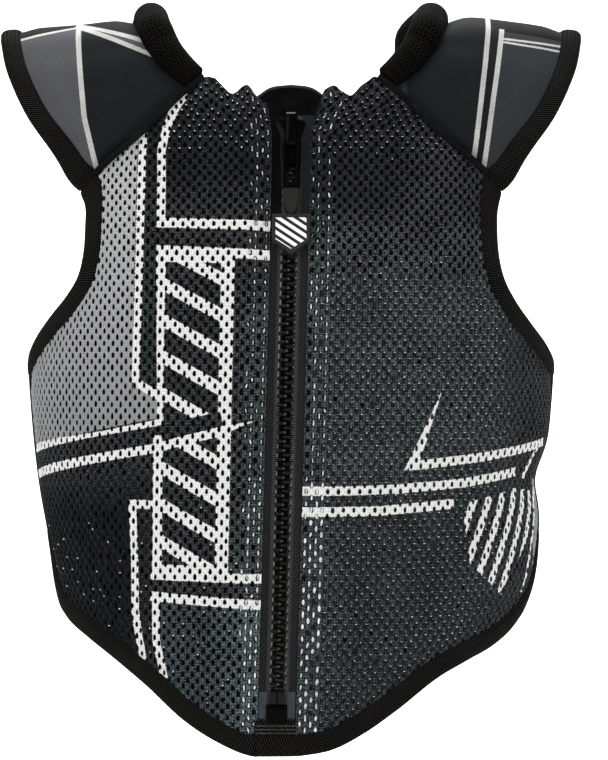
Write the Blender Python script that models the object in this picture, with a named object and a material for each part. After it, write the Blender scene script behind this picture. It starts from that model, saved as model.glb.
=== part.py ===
"""Body protector vest for a child: two padded front halves with a moulded zip, a padded back, padded
shoulder straps with neck rolls, and webbing bindings round every edge.

Metres, +Z up. The zip faces -Y and the wearer's left is at +X. The origin is the place where the straps
sit on the shoulders: on the middle plane, at half the depth, at the height of the straps' underside.
"""

import math

import bmesh
import bpy
import numpy as np

# Trunk: half width, and the depths in front of and behind the shoulder line
CHEST_HALF_WIDTH = 0.140
CHEST_DEPTH = 0.100
BACK_DEPTH = 0.097
# Heights below the shoulder line. The front is cut to the length of its zip.
CHAIN_END_DROP = 0.335
HEM_BELOW_CHAIN = 0.033
HEM_DROP = CHAIN_END_DROP + HEM_BELOW_CHAIN
UNDERARM_DROP = 0.169
SEAM_DROP = 0.080
# Shoulder straps
SHOULDER_HALF_SPAN = 0.153
STRAP_HALF_DEPTH = 0.050
# Padding and trims
PANEL_THICKNESS = 0.012
PANEL_EDGE_THICKNESS = 0.0065
EDGE_ROLL = 0.0014
STRAP_THICKNESS = 0.0105
# Crown of the straps on the wearer's right and left
STRAP_CROWN = (0.0018, 0.0042)
BINDING_WIDTH = 0.0104
BINDING_THICKNESS = 0.0082
BINDING_PROUD = 0.0007
PIPING_RADIUS = 0.0017
SIDE_TAPE_WIDTH = 0.009
SIDE_TAPE_THICKNESS = 0.006
ROLL_RADIUS = 0.0095
GAP = 0.0003
SOFT_GAP = 0.0006
STRAP_GAP = 0.0010
CHAMFER = 0.0006
# Zip
ZIP_DRIFT = 0.007
ZIP_HALF_OPENING = 0.0098
ZIP_RECESS = 0.003
TAPE_THICKNESS = 0.001
TAPE_CLEARANCE = 0.0007
TAPE_SPREAD = 0.0016
TAPE_TOP_RISE = 0.004
CHAIN_TOP_DROP = 0.0667
TOOTH_PITCH = 0.00455
TOOTH_WIDTH = 0.00195
TOOTH_HEIGHT = 0.0022
CHAIN_HALF_WIDTH = 0.0047
SLIDER_TOP_DROP = 0.0447
SLIDER_LENGTH = 0.0250
SLIDER_SHOULDER_WIDTH = 0.0155
SLIDER_WAIST_WIDTH = 0.0108
SLIDER_PLATE = 0.0018
CROWN_WIDTH = 0.0046
CROWN_LENGTH = 0.0178
CROWN_OVERHANG = 0.0022
CROWN_HEIGHT = 0.0042
CROWN_WALL = 0.0012
PIVOT_RADIUS = 0.0008
LINK_LENGTH = 0.0272
LINK_WIDTH = 0.0100
LINK_THICKNESS = 0.0017
TAB_LENGTH = 0.0158
TAB_TOP_WIDTH = 0.0084
TAB_END_WIDTH = 0.0052
TAB_THICKNESS = 0.0024
BADGE_WIDTH = 0.0192
BADGE_LENGTH = 0.0215
BADGE_THICKNESS = 0.0030
BADGE_RIM = 0.0014
BADGE_RIM_RISE = 0.0006
PIN_LENGTH = 0.0068
PIN_WIDTH = 0.0074
BOX_LENGTH = 0.0086
BOX_WIDTH = 0.0107
BOX_THICKNESS = 0.0050
FOOT_THICKNESS = 0.0016
# The pull leans on the chain: the point that it aims at, below its hinge and off the tapes
PULL_REACH = 0.060
PULL_END_OUT = 0.0052

# Trunk sections. down: share of HEM_DROP below the shoulder line. width, front and back: shares of
# CHEST_HALF_WIDTH, CHEST_DEPTH and BACK_DEPTH.
TRUNK_SECTIONS = (
    # down, width, front, back
    (-0.05, 0.843, 0.360, 0.420),
    (0.050, 0.886, 0.535, 0.640),
    (0.100, 0.914, 0.620, 0.740),
    (0.200, 0.958, 0.745, 0.860),
    (0.270, 0.980, 0.840, 0.920),
    (0.350, 0.994, 0.925, 0.960),
    (0.435, 1.000, 0.980, 0.980),
    (0.540, 0.984, 1.000, 0.960),
    (0.685, 0.941, 0.975, 0.900),
    (0.830, 0.888, 0.925, 0.870),
    (1.000, 0.857, 0.862, 0.830),
    (1.100, 0.850, 0.845, 0.815),
)

# Lower edge. turn: share of the quarter turn from the middle to the side. right, left and back: shares
# of HEM_DROP.
HEM_EDGE = (
    # turn, right, left, back
    (-0.15, 1.002, 0.999, 0.985),
    (0.040, 1.000, 0.997, 0.990),
    (0.105, 0.999, 0.991, 0.982),
    (0.200, 0.981, 0.968, 0.962),
    (0.290, 0.955, 0.939, 0.938),
    (0.420, 0.905, 0.896, 0.898),
    (0.530, 0.872, 0.874, 0.872),
    (0.650, 0.845, 0.856, 0.850),
    (0.790, 0.820, 0.829, 0.825),
    (0.870, 0.800, 0.808, 0.804),
    (0.940, 0.757, 0.772, 0.765),
    (0.975, 0.726, 0.733, 0.730),
    (1.000, 0.718, 0.718, 0.718),
)

# Armhole edge from the side up to the shoulder seam, which ends it. turn: share of the quarter turn.
# right and left: shares of UNDERARM_DROP.
ARMHOLE_EDGE = (
    # turn, right, left
    (1.000, 1.000, 1.000),
    (0.900, 0.963, 0.975),
    (0.800, 0.914, 0.934),
    (0.700, 0.852, 0.876),
    (0.628, 0.796, 0.812),
    (0.582, 0.736, 0.742),
    (0.566, 0.670, 0.670),
    (0.566, 0.585, 0.600),
    (0.576, 0.512, 0.530),
)

# Seam between panel and strap, from the neck outwards. turn: share of the quarter turn. down: share of
# SEAM_DROP.
SHOULDER_SEAM = (
    # turn, down
    (0.215, 0.235),
    (0.268, 0.320),
    (0.320, 0.440),
    (0.383, 0.590),
    (0.461, 0.735),
    (0.538, 0.870),
    (0.600, 1.000),
)

# Front neckline from the zip to the shoulder seam, gathered on its tape. turn: share of the quarter turn.
# right and left: shares of SEAM_DROP.
NECK_EDGE = (
    # turn, right, left
    (0.060, 0.445, 0.470),
    (0.090, 0.395, 0.350),
    (0.115, 0.330, 0.335),
    (0.135, 0.345, 0.372),
    (0.152, 0.360, 0.375),
    (0.183, 0.325, 0.335),
    (0.205, 0.262, 0.285),
)

# Back neckline from the middle to the seam. turn: share of the quarter turn. down: share of SEAM_DROP.
BACK_NECK_EDGE = (
    # turn, down
    (0.000, 0.175),
    (0.060, 0.195),
    (0.110, 0.270),
    (0.160, 0.310),
    (0.200, 0.270),
)

# Outer edge of a strap from its seam over the ridge. x, y and z: shares of SHOULDER_HALF_SPAN,
# STRAP_HALF_DEPTH and SEAM_DROP.
STRAP_EDGE = (
    # x, y, z
    (0.748, -0.985, -0.915),
    (0.787, -0.965, -0.790),
    (0.895, -0.880, -0.490),
    (0.967, -0.680, -0.185),
    (0.996, -0.340, 0.035),
    (1.002, 0.000, 0.100),
)

# Middle line of a neck roll from the front seam to the ridge. x, y and z: shares of SHOULDER_HALF_SPAN,
# STRAP_HALF_DEPTH and SEAM_DROP. radius: share of ROLL_RADIUS.
NECK_ROLL = (
    # x, y, z, radius
    (0.328, -1.000, -0.270, 0.68),
    (0.376, -0.930, -0.190, 0.80),
    (0.428, -0.800, -0.070, 0.90),
    (0.470, -0.480, 0.090, 0.98),
    (0.487, 0.000, 0.172, 1.00),
)

# Gathers of a front panel under the neckline. turn and half width: shares of the quarter turn. depth: share
# of GATHER_DEPTH, a dent where negative.
GATHERS = (
    # turn, depth, half width
    (0.105, 0.80, 0.018),
    (0.145, -1.00, 0.020),
    (0.185, 0.55, 0.020),
    (0.235, -0.60, 0.022),
    (0.300, 0.35, 0.030),
)
GATHER_DEPTH = 0.0024
GATHER_LENGTH = 0.040
# Each roll stands this far towards the wearer's right behind its ridge, and ends at this share of the depth.
ROLL_TWIST = 0.006
ROLL_BACK_SHARE = 0.90
# Dents and swells of the sides. side: 1 on the wearer's left, -1 on the right. down and half height: shares
# of HEM_DROP. depth: share of CHEST_HALF_WIDTH, a dent where negative.
SIDE_FOLDS = (
    # side, down, half height, depth
    (1, 0.625, 0.038, -0.039),
    (1, 0.765, 0.062, 0.024),
    (-1, 0.725, 0.062, -0.016),
)
# The front edges open this far at the neck, on the wearer's right and left, over a height that starts here.
NECK_FLARE = (0.0025, 0.0060)
FLARE_DROP = 0.052
FLARE_HEIGHT = 0.016
# The zip drifts between these shares of the height.
DRIFT_START = 0.16
DRIFT_END = 0.92
# The bindings widen along the seam where they meet it.
SEAM_END_STRETCH = 1.35
# Scale of turns and heights where even steps are taken along an edge
FLAT = (CHEST_HALF_WIDTH, 1.0)
# Rows of points along the edges
NECK_ROWS = 9
SEAM_ROWS = 8
SIDE_ROWS = 5
ARMHOLE_ROWS = 11
STRAP_ROWS = 17
STRAP_COLUMNS = 6
ZIP_ROW_CROWDING = 0.85

BLACK_WEBBING = ("webbing", (0.012, 0.012, 0.013), 0.72, 0.0)
BLACK_MESH = ("mesh", (0.018, 0.023, 0.027), 0.80, 0.0)
STRAP_KNIT = ("strap_knit", (0.050, 0.055, 0.066), 0.75, 0.0)
ROLL_MESH = ("roll_mesh", (0.010, 0.010, 0.011), 0.85, 0.0)
ZIP_TAPE = ("zip_tape", (0.022, 0.022, 0.024), 0.75, 0.0)
ZIP_RESIN = ("zip_resin", (0.008, 0.008, 0.009), 0.28, 0.0)
PULL_PLASTIC = ("pull_plastic", (0.028, 0.028, 0.028), 0.55, 0.0)
BADGE_RUBBER = ("badge_rubber", (0.020, 0.021, 0.022), 0.60, 0.0)


def clear_scene():
    """Removes whatever the new scene holds."""
    for item in list(bpy.data.objects):
        bpy.data.objects.remove(item, do_unlink=True)


def material(finish):
    """The Principled material of a finish, made once."""
    name, colour, roughness, metallic = finish
    found = bpy.data.materials.get(name)
    if found:
        return found
    made = bpy.data.materials.new(name)
    made.use_nodes = True
    shader = made.node_tree.nodes["Principled BSDF"]
    shader.inputs["Base Color"].default_value = (*colour, 1.0)
    shader.inputs["Roughness"].default_value = roughness
    shader.inputs["Metallic"].default_value = metallic
    made.diffuse_color = (*colour, 1.0)
    return made


def add_mesh(name, points, faces, finish, smooth=True):
    """One object from points and faces, its faces turned outwards."""
    mesh = bpy.data.meshes.new(name)
    mesh.from_pydata([tuple(map(float, p)) for p in points], [], [tuple(map(int, f)) for f in faces])
    work = bmesh.new()
    work.from_mesh(mesh)
    bmesh.ops.recalc_face_normals(work, faces=work.faces)
    work.to_mesh(mesh)
    work.free()
    mesh.materials.append(material(finish))
    if smooth:
        mesh.shade_smooth()
        mesh.set_sharp_from_angle(angle=math.radians(40))
    made = bpy.data.objects.new(name, mesh)
    bpy.context.scene.collection.objects.link(made)
    return made


def hermite(knots, values, at):
    """A smooth curve through values at rising knots, read at any places inside them."""
    knots, values, at = (np.asarray(v, float) for v in (knots, values, at))
    if values.ndim == 1:
        return hermite(knots, values[:, None], at)[..., 0]
    step = np.diff(knots)[:, None]
    slope = np.diff(values, axis=0) / step
    tangent = np.vstack([slope[:1], (slope[1:] * step[:-1] + slope[:-1] * step[1:]) / (step[1:] + step[:-1]),
                         slope[-1:]])
    i = np.clip(np.searchsorted(knots, at, side="right") - 1, 0, len(knots) - 2)
    h = step[i]
    t = ((at - knots[i]) / h[..., 0])[..., None]
    return (
        (2 * t**3 - 3 * t**2 + 1) * values[i]
        + (t**3 - 2 * t**2 + t) * h * tangent[i]
        + (3 * t**2 - 2 * t**3) * values[i + 1]
        + (t**3 - t**2) * h * tangent[i + 1]
    )


def curve(points, count, scale=1.0):
    """Count points at even steps along a smooth curve through the given points; scale weighs each axis."""
    points = np.asarray(points, float)
    reach = np.r_[0, np.cumsum(np.linalg.norm(np.diff(points * scale, axis=0), axis=1))]
    fine = hermite(reach, points, np.linspace(0, reach[-1], 400))
    return even(fine, count, scale)


def even(line, count, scale=1.0):
    """Count points at even steps along a line of many points."""
    line = np.asarray(line, float)
    reach = np.r_[0, np.cumsum(np.linalg.norm(np.diff(line * scale, axis=0), axis=1))]
    at = np.linspace(0, reach[-1], count)
    return np.column_stack([np.interp(at, reach, column) for column in line.T])


def section(z):
    """Half width, front depth and back depth of the trunk at height z."""
    table = np.array(TRUNK_SECTIONS)
    shares = hermite(table[:, 0], table[:, 1:], -np.asarray(z, float) / HEM_DROP)
    return shares * (CHEST_HALF_WIDTH, CHEST_DEPTH, BACK_DEPTH)


def trunk(place, side=1):
    """Points on the trunk's outer surface. place: turn in radians from the front's middle, and height."""
    turn, z = place[..., 0], place[..., 1]
    size = section(z)
    depth = np.where(np.cos(turn) >= 0, size[..., 1], size[..., 2])
    plain = side * size[..., 0] * np.sin(turn)
    across = plain
    for way, down, half, relief in SIDE_FOLDS:
        bell = np.exp(-(((z / HEM_DROP + down) / half) ** 2))
        near = np.clip(way * plain / CHEST_HALF_WIDTH, 0, 1) ** 4
        across = across + way * relief * CHEST_HALF_WIDTH * bell * near
    return np.stack([across, -depth * np.cos(turn), z], axis=-1)


def metric(place):
    """Length along the trunk's surface for one radian of turn."""
    turn, z = place[..., 0], place[..., 1]
    size = section(z)
    depth = np.where(np.cos(turn) >= 0, size[..., 1], size[..., 2])
    return np.hypot(size[..., 0] * np.cos(turn), depth * np.sin(turn))


def trunk_normals(place, side=1):
    """Unit normals of the trunk's surface, pointing outwards."""
    step = 1e-4
    over = trunk(place + (step, 0), side) - trunk(place - (step, 0), side)
    up = trunk(place + (0, step), side) - trunk(place - (0, step), side)
    normal = np.cross(over, up) * side
    return normal / np.linalg.norm(normal, axis=-1)[..., None]


def band(line, widths, start=None, end=None):
    """Rows of points: a line on the trunk and its copies moved to its left by each width.

    start and end are the ways, along the surface and up, in which the rows at its two ends run.
    """
    unit = np.column_stack([metric(line), np.ones(len(line))])
    step = np.gradient(line, axis=0) * unit
    step /= np.linalg.norm(step, axis=1)[:, None]
    way = np.column_stack([-step[:, 1], step[:, 0]])
    share = np.linspace(0, 1, len(line))
    for fixed, weight in ((start, np.clip(1 - share * 6, 0, 1)), (end, np.clip(share * 6 - 5, 0, 1))):
        if fixed is not None:
            way = way * (1 - weight[:, None]) + np.array(fixed) * weight[:, None]
    return np.stack([line + way / unit * width for width in widths], axis=1)


def lengths(line, scale=1.0):
    """Length along a line up to each of its points."""
    return np.r_[0, np.cumsum(np.linalg.norm(np.diff(line * scale, axis=0), axis=1))]


def read_rows(rows, index):
    """Rows of a band read at any fractional indices."""
    flat = rows.reshape(len(rows), -1)
    whole = np.arange(len(rows))
    read = np.column_stack([np.interp(index, whole, column) for column in flat.T])
    return read.reshape(len(index), *rows.shape[1:])


def even_rows(rows, column, count, first=0, last=None, scale=1.0):
    """Count rows at even steps along one column of a band, between two of its rows."""
    part = rows[first:None if last is None else last + 1]
    reach = lengths(part[:, column], scale)
    return read_rows(part, np.interp(np.linspace(0, reach[-1], count), reach, np.arange(len(part))))


def patch(bottom, top, left, right):
    """A grid that fills four edge lines, which meet at their ends."""
    u = np.linspace(0, 1, len(bottom))[:, None, None]
    v = np.linspace(0, 1, len(left))[None, :, None]
    ends = (
        (1 - u) * (1 - v) * bottom[0]
        + u * (1 - v) * bottom[-1]
        + (1 - u) * v * top[0]
        + u * v * top[-1]
    )
    return (1 - v) * bottom[:, None] + v * top[:, None] + (1 - u) * left[None] + u * right[None] - ends


def grid_normals(grid):
    """Unit normals of a grid of points, pointing away from the trunk's middle."""
    normal = np.cross(np.gradient(grid, axis=0), np.gradient(grid, axis=1))
    normal /= np.maximum(np.linalg.norm(normal, axis=-1), 1e-12)[..., None]
    outwards = grid + (0, 0, 0.3 * HEM_DROP)
    return normal if (normal * outwards).sum() > 0 else -normal


def edge_rise(grid, reach):
    """0 on the grid's edges, rising smoothly to 1 at the given distance from them."""
    near = np.full(grid.shape[:2], np.inf)
    for axis in (0, 1):
        run = np.cumsum(np.linalg.norm(np.diff(grid, axis=axis, prepend=grid.take([0], axis)), axis=-1), axis)
        near = np.minimum(near, np.minimum(run, run.take([-1], axis) - run))
    near = np.clip(near / reach, 0, 1)
    return near * near * (3 - 2 * near)


def shell_faces(nu, nv):
    """Faces of a closed slab whose outer grid comes first and whose inner grid follows."""
    cell = np.arange(nu * nv).reshape(nu, nv)
    quads = np.stack([cell[:-1, :-1], cell[1:, :-1], cell[1:, 1:], cell[:-1, 1:]], axis=-1).reshape(-1, 4)
    ring = np.concatenate([cell[:, 0], cell[-1, 1:], cell[-2::-1, -1], cell[0, -2:0:-1]])
    after = np.roll(ring, -1)
    inner = nu * nv
    rim = np.stack([ring, ring + inner, after + inner, after], axis=-1)
    return np.concatenate([quads, quads[:, ::-1] + inner, rim])


def slab(name, outer, inner, finish):
    """A closed wall between an outer and an inner grid."""
    points = np.concatenate([outer.reshape(-1, 3), inner.reshape(-1, 3)])
    return add_mesh(name, points, shell_faces(*outer.shape[:2]), finish)


def padded(name, grid, normal, thickness, finish, relief=0.0):
    """A padded wall on a grid: its edges roll back and thin out, and relief moves its outside."""
    rise = edge_rise(grid, thickness * 1.1)[..., None]
    outer = grid + normal * ((rise - 1) * EDGE_ROLL + np.asarray(relief)[..., None])
    thin = PANEL_EDGE_THICKNESS - EDGE_ROLL
    inner = grid - normal * (thin + (thickness - thin) * rise)
    return slab(name, outer, inner, finish)


def strip(name, grid, normal, finish, thickness=BINDING_THICKNESS):
    """A band of three lines, a little crowned on its outside."""
    crown = np.array([-0.6, 1.4, -0.6])[None, :, None]
    outer = grid + normal * BINDING_PROUD * crown
    inner = grid - normal * (thickness - BINDING_PROUD) + normal * BINDING_PROUD * (crown < 0)
    return slab(name, outer, inner, finish)


def trunk_strip(name, rows, side, finish, thickness=BINDING_THICKNESS):
    """A strip between the first two columns of rows of places on the trunk."""
    place = np.stack([rows[:, 0], (rows[:, 0] + rows[:, 1]) / 2, rows[:, 1]], axis=1)
    return strip(name, trunk(place, side), trunk_normals(place, side), finish, thickness)


def tube(name, path, radii, sides, finish):
    """A round tube with flat ends along a path."""
    path = np.asarray(path, float)
    radii = np.broadcast_to(radii, len(path))
    forward = np.gradient(path, axis=0)
    forward /= np.linalg.norm(forward, axis=1)[:, None]
    over = np.cross(forward, (0.0, 0.0, 1.0))
    over /= np.linalg.norm(over, axis=1)[:, None]
    up = np.cross(over, forward)
    angle = np.linspace(0, 2 * math.pi, sides, endpoint=False)
    ring = np.cos(angle)[None, :, None] * over[:, None] + np.sin(angle)[None, :, None] * up[:, None]
    points = path[:, None] + ring * radii[:, None, None]
    cell = np.arange(len(path) * sides).reshape(len(path), sides)
    after = np.roll(cell, -1, axis=1)
    sheet = np.stack([cell[:-1], after[:-1], after[1:], cell[1:]], axis=-1).reshape(-1, 4)
    faces = [*map(tuple, sheet), tuple(cell[0]), tuple(cell[-1])]
    return add_mesh(name, points.reshape(-1, 3), faces, finish)


def quarter(table, column, drop):
    """A table's edge as turns and heights."""
    table = np.array(table)
    return np.column_stack([table[:, 0] * math.pi / 2, -table[:, column] * drop])


def zip_x(z):
    """The zip's middle line drifts to the wearer's right on its way down."""
    low = np.clip((-np.asarray(z, float) / HEM_DROP - DRIFT_START) / (DRIFT_END - DRIFT_START), 0, None)
    return -ZIP_DRIFT * low**1.2


def zip_edge(z, side):
    """Turn of a front panel's edge beside the zip, as seen from its own side; it flares at the neck."""
    flare = NECK_FLARE[side > 0] * np.clip((z + FLARE_DROP) / FLARE_HEIGHT, 0, 1) ** 1.5
    wide = section(z)[..., 0]
    return np.arcsin((side * zip_x(z) + ZIP_HALF_OPENING + flare) / wide)


def side_gap(clearance=SOFT_GAP):
    """Turn that the side seam's tape takes on each side of the seam."""
    middle = -(UNDERARM_DROP + HEM_EDGE[-1][1] * HEM_DROP) / 2
    return (SIDE_TAPE_WIDTH / 2 + clearance) / float(metric(np.array([math.pi / 2, middle])))


def hem_line(side, start):
    """The vest's lower edge from a turn to the side."""
    knots = quarter(HEM_EDGE, {-1: 1, 1: 2, 0: 3}[side], HEM_DROP)
    turn = np.linspace(start, math.pi / 2, 600)
    return np.column_stack([turn, hermite(knots[:, 0], knots[:, 1], turn)])


def seam_end():
    """Where the shoulder seam reaches the vest's edge, and the way back along the seam from there."""
    knots = quarter(SHOULDER_SEAM, 1, SEAM_DROP)
    unit = float(metric(knots[-1]))
    back = (knots[-2] - knots[-1]) * (unit, 1)
    return knots[-1], back / np.linalg.norm(back)


def seam_rows(moved=0.0):
    """The shoulder seam from the neck outwards, moved up by a width."""
    line = curve(quarter(SHOULDER_SEAM, 1, SEAM_DROP), 200, FLAT)
    return band(line, (moved,))[:, 0]


def armhole_band(side, count):
    """Rows from the side up to the seam: the vest's edge, its binding's inside and the panel's edge."""
    end, back = seam_end()
    corner = end - (0, (PIPING_RADIUS + GAP) / abs(back[0]))
    knots = np.vstack([quarter(ARMHOLE_EDGE, 2 if side > 0 else 1, UNDERARM_DROP), corner])
    line = curve(knots, 300, FLAT)
    rows = band(line, (0, BINDING_WIDTH, BINDING_WIDTH + SOFT_GAP), start=(0, -1), end=back * SEAM_END_STRETCH)
    limit = math.pi / 2 - side_gap()
    first = int(np.argmax(rows[:, 2, 0] <= limit))
    inner = even_rows(rows, 2, count, first, scale=FLAT)
    inner[0, 2, 0] = limit
    return np.concatenate([rows[:1], inner])


def hem_band(side, count):
    """Rows along the lower edge to the side: the vest's edge, its binding's inside and the panel's edge.

    Side 0 is the back's half, from its middle.
    """
    split = zip_x(-HEM_DROP) - ZIP_HALF_OPENING
    wide = float(section(-HEM_DROP)[0])
    start = 0.0 if side == 0 else math.asin((side * split + GAP / 2) / wide)
    line = hem_line(side, start)
    rows = band(line, (0, BINDING_WIDTH, BINDING_WIDTH + SOFT_GAP), start=(0, 1), end=(0, 1))
    limit = math.pi / 2 - side_gap()
    last = len(rows) - 1 - int(np.argmax(rows[::-1, 2, 0] <= limit))
    opening = 0.0 if side == 0 else zip_edge(rows[0, 2, 1], side)
    first = int(np.argmax(rows[:, 2, 0] >= opening))
    inner = even_rows(rows, 2, count, first, last, FLAT)
    if side != 0:
        inner[0, 2, 0] = zip_edge(inner[0, 2, 1], side)
    inner[-1, 2, 0] = limit
    rows[-1, :, 0] -= GAP / 2 / CHEST_DEPTH
    ahead = rows[:1] if first > 5 else rows[:0]
    return np.concatenate([ahead, inner, rows[-1:]]), len(ahead)


def outer_edge(low, arm):
    """A panel's outer edge: up the side seam from the lower band's corner, then round the armhole."""
    side = np.linspace(low, arm[1, 2], SIDE_ROWS)
    return np.concatenate([side[:-1], arm[1:, 2]])


def top_edge(neck, corner):
    """A panel's top edge: the neckline, then the seam as far as the armhole's corner."""
    seam = seam_rows(-PIPING_RADIUS - GAP)
    stop = int(np.argmin(np.linalg.norm((seam - corner) * FLAT, axis=1)))
    seam[stop] = corner
    start = int(np.argmin(np.linalg.norm((seam - neck[-1]) * FLAT, axis=1)))
    return np.concatenate([even(neck, NECK_ROWS, FLAT), even(seam[start:stop + 1], SEAM_ROWS, FLAT)[1:]])


def front_panel(name, side):
    """One padded front half with its gathered neckline."""
    arm = armhole_band(side, ARMHOLE_ROWS)
    hem, ahead = hem_band(side, NECK_ROWS + SEAM_ROWS - 1)
    bottom = hem[ahead:-1, 2]
    neck = quarter(NECK_EDGE, 2 if side > 0 else 1, SEAM_DROP)
    neck[0, 0] = zip_edge(neck[0, 1], side)
    top = top_edge(curve(neck, 120, FLAT), arm[-1, 2])
    outer = outer_edge(bottom[-1], arm)
    z = bottom[0, 1] + (top[0, 1] - bottom[0, 1]) * np.linspace(0, 1, len(outer)) ** ZIP_ROW_CROWDING
    inner = np.column_stack([zip_edge(z, side), z])
    place = patch(bottom, top, inner, outer)
    fade = np.clip(1 - (top[:, 1][:, None] - place[..., 1]) / GATHER_LENGTH, 0, 1)
    relief = np.zeros(place.shape[:2])
    for turn, depth, half in GATHERS:
        away = (place[..., 0] / (math.pi / 2) - turn) / half
        relief += depth * GATHER_DEPTH * np.exp(-away**2) * fade**1.5
    padded(name, trunk(place, side), trunk_normals(place, side), PANEL_THICKNESS, BLACK_MESH, relief)
    return inner


def to_back(place):
    """Turns measured from the front become turns measured round to the back."""
    return place * (-1, 1) + (math.pi, 0)


def back_panel(name):
    """The padded back in one piece, as turns from the front round the wearer's left."""
    hem, _ = hem_band(0, NECK_ROWS + SEAM_ROWS - 1)
    bottom = hem[:-1, 2]
    neck = curve(quarter(BACK_NECK_EDGE, 1, SEAM_DROP), 120, FLAT)
    left, right = armhole_band(1, ARMHOLE_ROWS), armhole_band(-1, ARMHOLE_ROWS)
    top_left, top_right = top_edge(neck, left[-1, 2]), top_edge(neck, right[-1, 2])
    place = patch(
        np.concatenate([to_back(bottom)[::-1], bottom[1:] + (math.pi, 0)]),
        np.concatenate([to_back(top_left)[::-1], top_right[1:] + (math.pi, 0)]),
        to_back(outer_edge(bottom[-1], left)),
        outer_edge(bottom[-1], right) + (math.pi, 0),
    )
    padded(name, trunk(place), trunk_normals(place), PANEL_THICKNESS, BLACK_MESH)


def over_shoulder(table, back_depth):
    """A table's line from the front seam to the ridge, carried on down the back as its mirror."""
    front = np.array(table, float)
    front[:, :3] *= (SHOULDER_HALF_SPAN, STRAP_HALF_DEPTH, SEAM_DROP)
    back = front[-2::-1].copy()
    back[:, 1] *= -back_depth / STRAP_HALF_DEPTH
    return np.concatenate([front, back])


def strap_lines(side, count):
    """Rows over the shoulder: the vest's edge, the binding's inside, the strap's inner edge, the roll's
    middle, and the roll's radius in the last column's place."""
    end, back = seam_end()
    corner = end + (0, (PIPING_RADIUS + 2 * SOFT_GAP) / abs(back[0]))
    ends = np.array([corner, to_back(corner)])
    back_depth = float(section(NECK_ROLL[0][2] * SEAM_DROP)[2]) * ROLL_BACK_SHARE
    edge = np.concatenate([trunk(ends[:1]), over_shoulder(STRAP_EDGE, back_depth), trunk(ends[1:])])
    edge = curve(edge, 300)
    roll = curve(over_shoulder(NECK_ROLL, back_depth), 300)
    roll, radius = roll[:, :3], roll[:, 3:] * ROLL_RADIUS
    behind = np.clip(roll[:, 1] / back_depth, 0, 1)
    roll[:, 0] -= side * ROLL_TWIST * np.sin(math.pi * behind) ** 2
    way = edge - roll
    way /= np.linalg.norm(way, axis=1)[:, None]
    share = np.linspace(-1, 1, 300)[:, None]
    width = BINDING_WIDTH * (1 + (SEAM_END_STRETCH - 1) * share**8)
    bound = edge - way * width
    inner = roll + way * (radius + 2.5 * SOFT_GAP)
    rows = np.stack([edge, bound, bound - way * STRAP_GAP, inner, roll, radius * (1, 1, 1)], axis=1)
    return even_rows(rows, 0, count)


def shoulder(suffix, side):
    """A strap with its neck roll, its outer binding and the piping of its two seams."""
    rows = strap_lines(side, STRAP_ROWS)
    seam = seam_rows(PIPING_RADIUS + GAP)
    ends = []
    for k, line in ((0, trunk(seam)), (-1, trunk(to_back(seam)))):
        picks = [int(np.linalg.norm(line - rows[k, n], axis=1).argmin()) for n in (3, 2)]
        ends.append(even(line[picks[0]:picks[1] + 1], STRAP_COLUMNS))
        rows[k, 3] = ends[-1][0]
        rows[k, 1:3] += ends[-1][-1] - rows[k, 2]
    grid = patch(rows[:, 3], rows[:, 2], ends[0], ends[1])
    middle = (rows[:, 0] + rows[:, 1]) / 2
    whole = np.concatenate([grid, np.stack([rows[:, 1], middle, rows[:, 0]], axis=1)], axis=1)
    whole = whole * (side, 1, 1)
    normal = grid_normals(whole)
    cut = STRAP_COLUMNS
    bulge = np.outer(np.sin(np.linspace(0, math.pi, len(rows))), np.sin(np.linspace(0, 1, cut)**0.7 * math.pi))
    padded("shoulder_panel_" + suffix, whole[:, :cut], normal[:, :cut], STRAP_THICKNESS, STRAP_KNIT,
           STRAP_CROWN[side > 0] * bulge)
    strip("shoulder_binding_" + suffix, whole[:, cut:], normal[:, cut:], BLACK_WEBBING)
    tube("neck_roll_" + suffix, rows[:, 4] * (side, 1, 1), rows[:, 5, 0], 10, ROLL_MESH)
    for where, line in (("front", seam_rows()), ("back", to_back(seam_rows()))):
        path = even(trunk(line, side), 13)
        tube(f"seam_piping_{where}_{suffix}", path, PIPING_RADIUS, 6, BLACK_WEBBING)


def bindings(suffix, side):
    """The webbing round one armhole and along one half of the lower edge, and the side seam's tape."""
    arm = armhole_band(side, ARMHOLE_ROWS)
    trunk_strip("armhole_binding_" + suffix, np.concatenate([arm[::-1], to_back(arm)[1:]]), side,
                BLACK_WEBBING)
    hem, _ = hem_band(side, NECK_ROWS + SEAM_ROWS - 1)
    trunk_strip("hem_binding_" + suffix, hem, side, BLACK_WEBBING)
    low = max(hem[-1, 1, 1], hem[-2, 1, 1]) + GAP
    high = min(arm[0, 1, 1], arm[1, 1, 1]) - GAP
    z = np.linspace(low, high, SIDE_ROWS)
    half = side_gap(0.0)
    rows = np.stack([np.column_stack([math.pi / 2 + turn + 0 * z, z]) for turn in (-half, half)], axis=1)
    trunk_strip("side_tape_" + suffix, rows, side, BLACK_WEBBING, SIDE_TAPE_THICKNESS)


def hem_back(name):
    """The webbing along the back's lower edge, from side to side."""
    hem, _ = hem_band(0, NECK_ROWS + SEAM_ROWS - 1)
    rows = np.concatenate([to_back(hem)[::-1], hem[1:] + (math.pi, 0)])
    trunk_strip(name, rows, 1, BLACK_WEBBING)


def zip_frame(z):
    """Point on the zip tape's middle plane at a height, and the outward direction there."""
    z = np.asarray(z, float)
    step = 0.001
    slope = (section(z + step)[..., 1] - section(z - step)[..., 1]) / (2 * step)
    out = np.stack([np.zeros_like(z), -np.ones_like(z), -slope], axis=-1)
    out /= np.linalg.norm(out, axis=-1)[..., None]
    point = np.stack([zip_x(z), -section(z)[..., 1], z], axis=-1) - out * ZIP_RECESS
    return point, out


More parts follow.
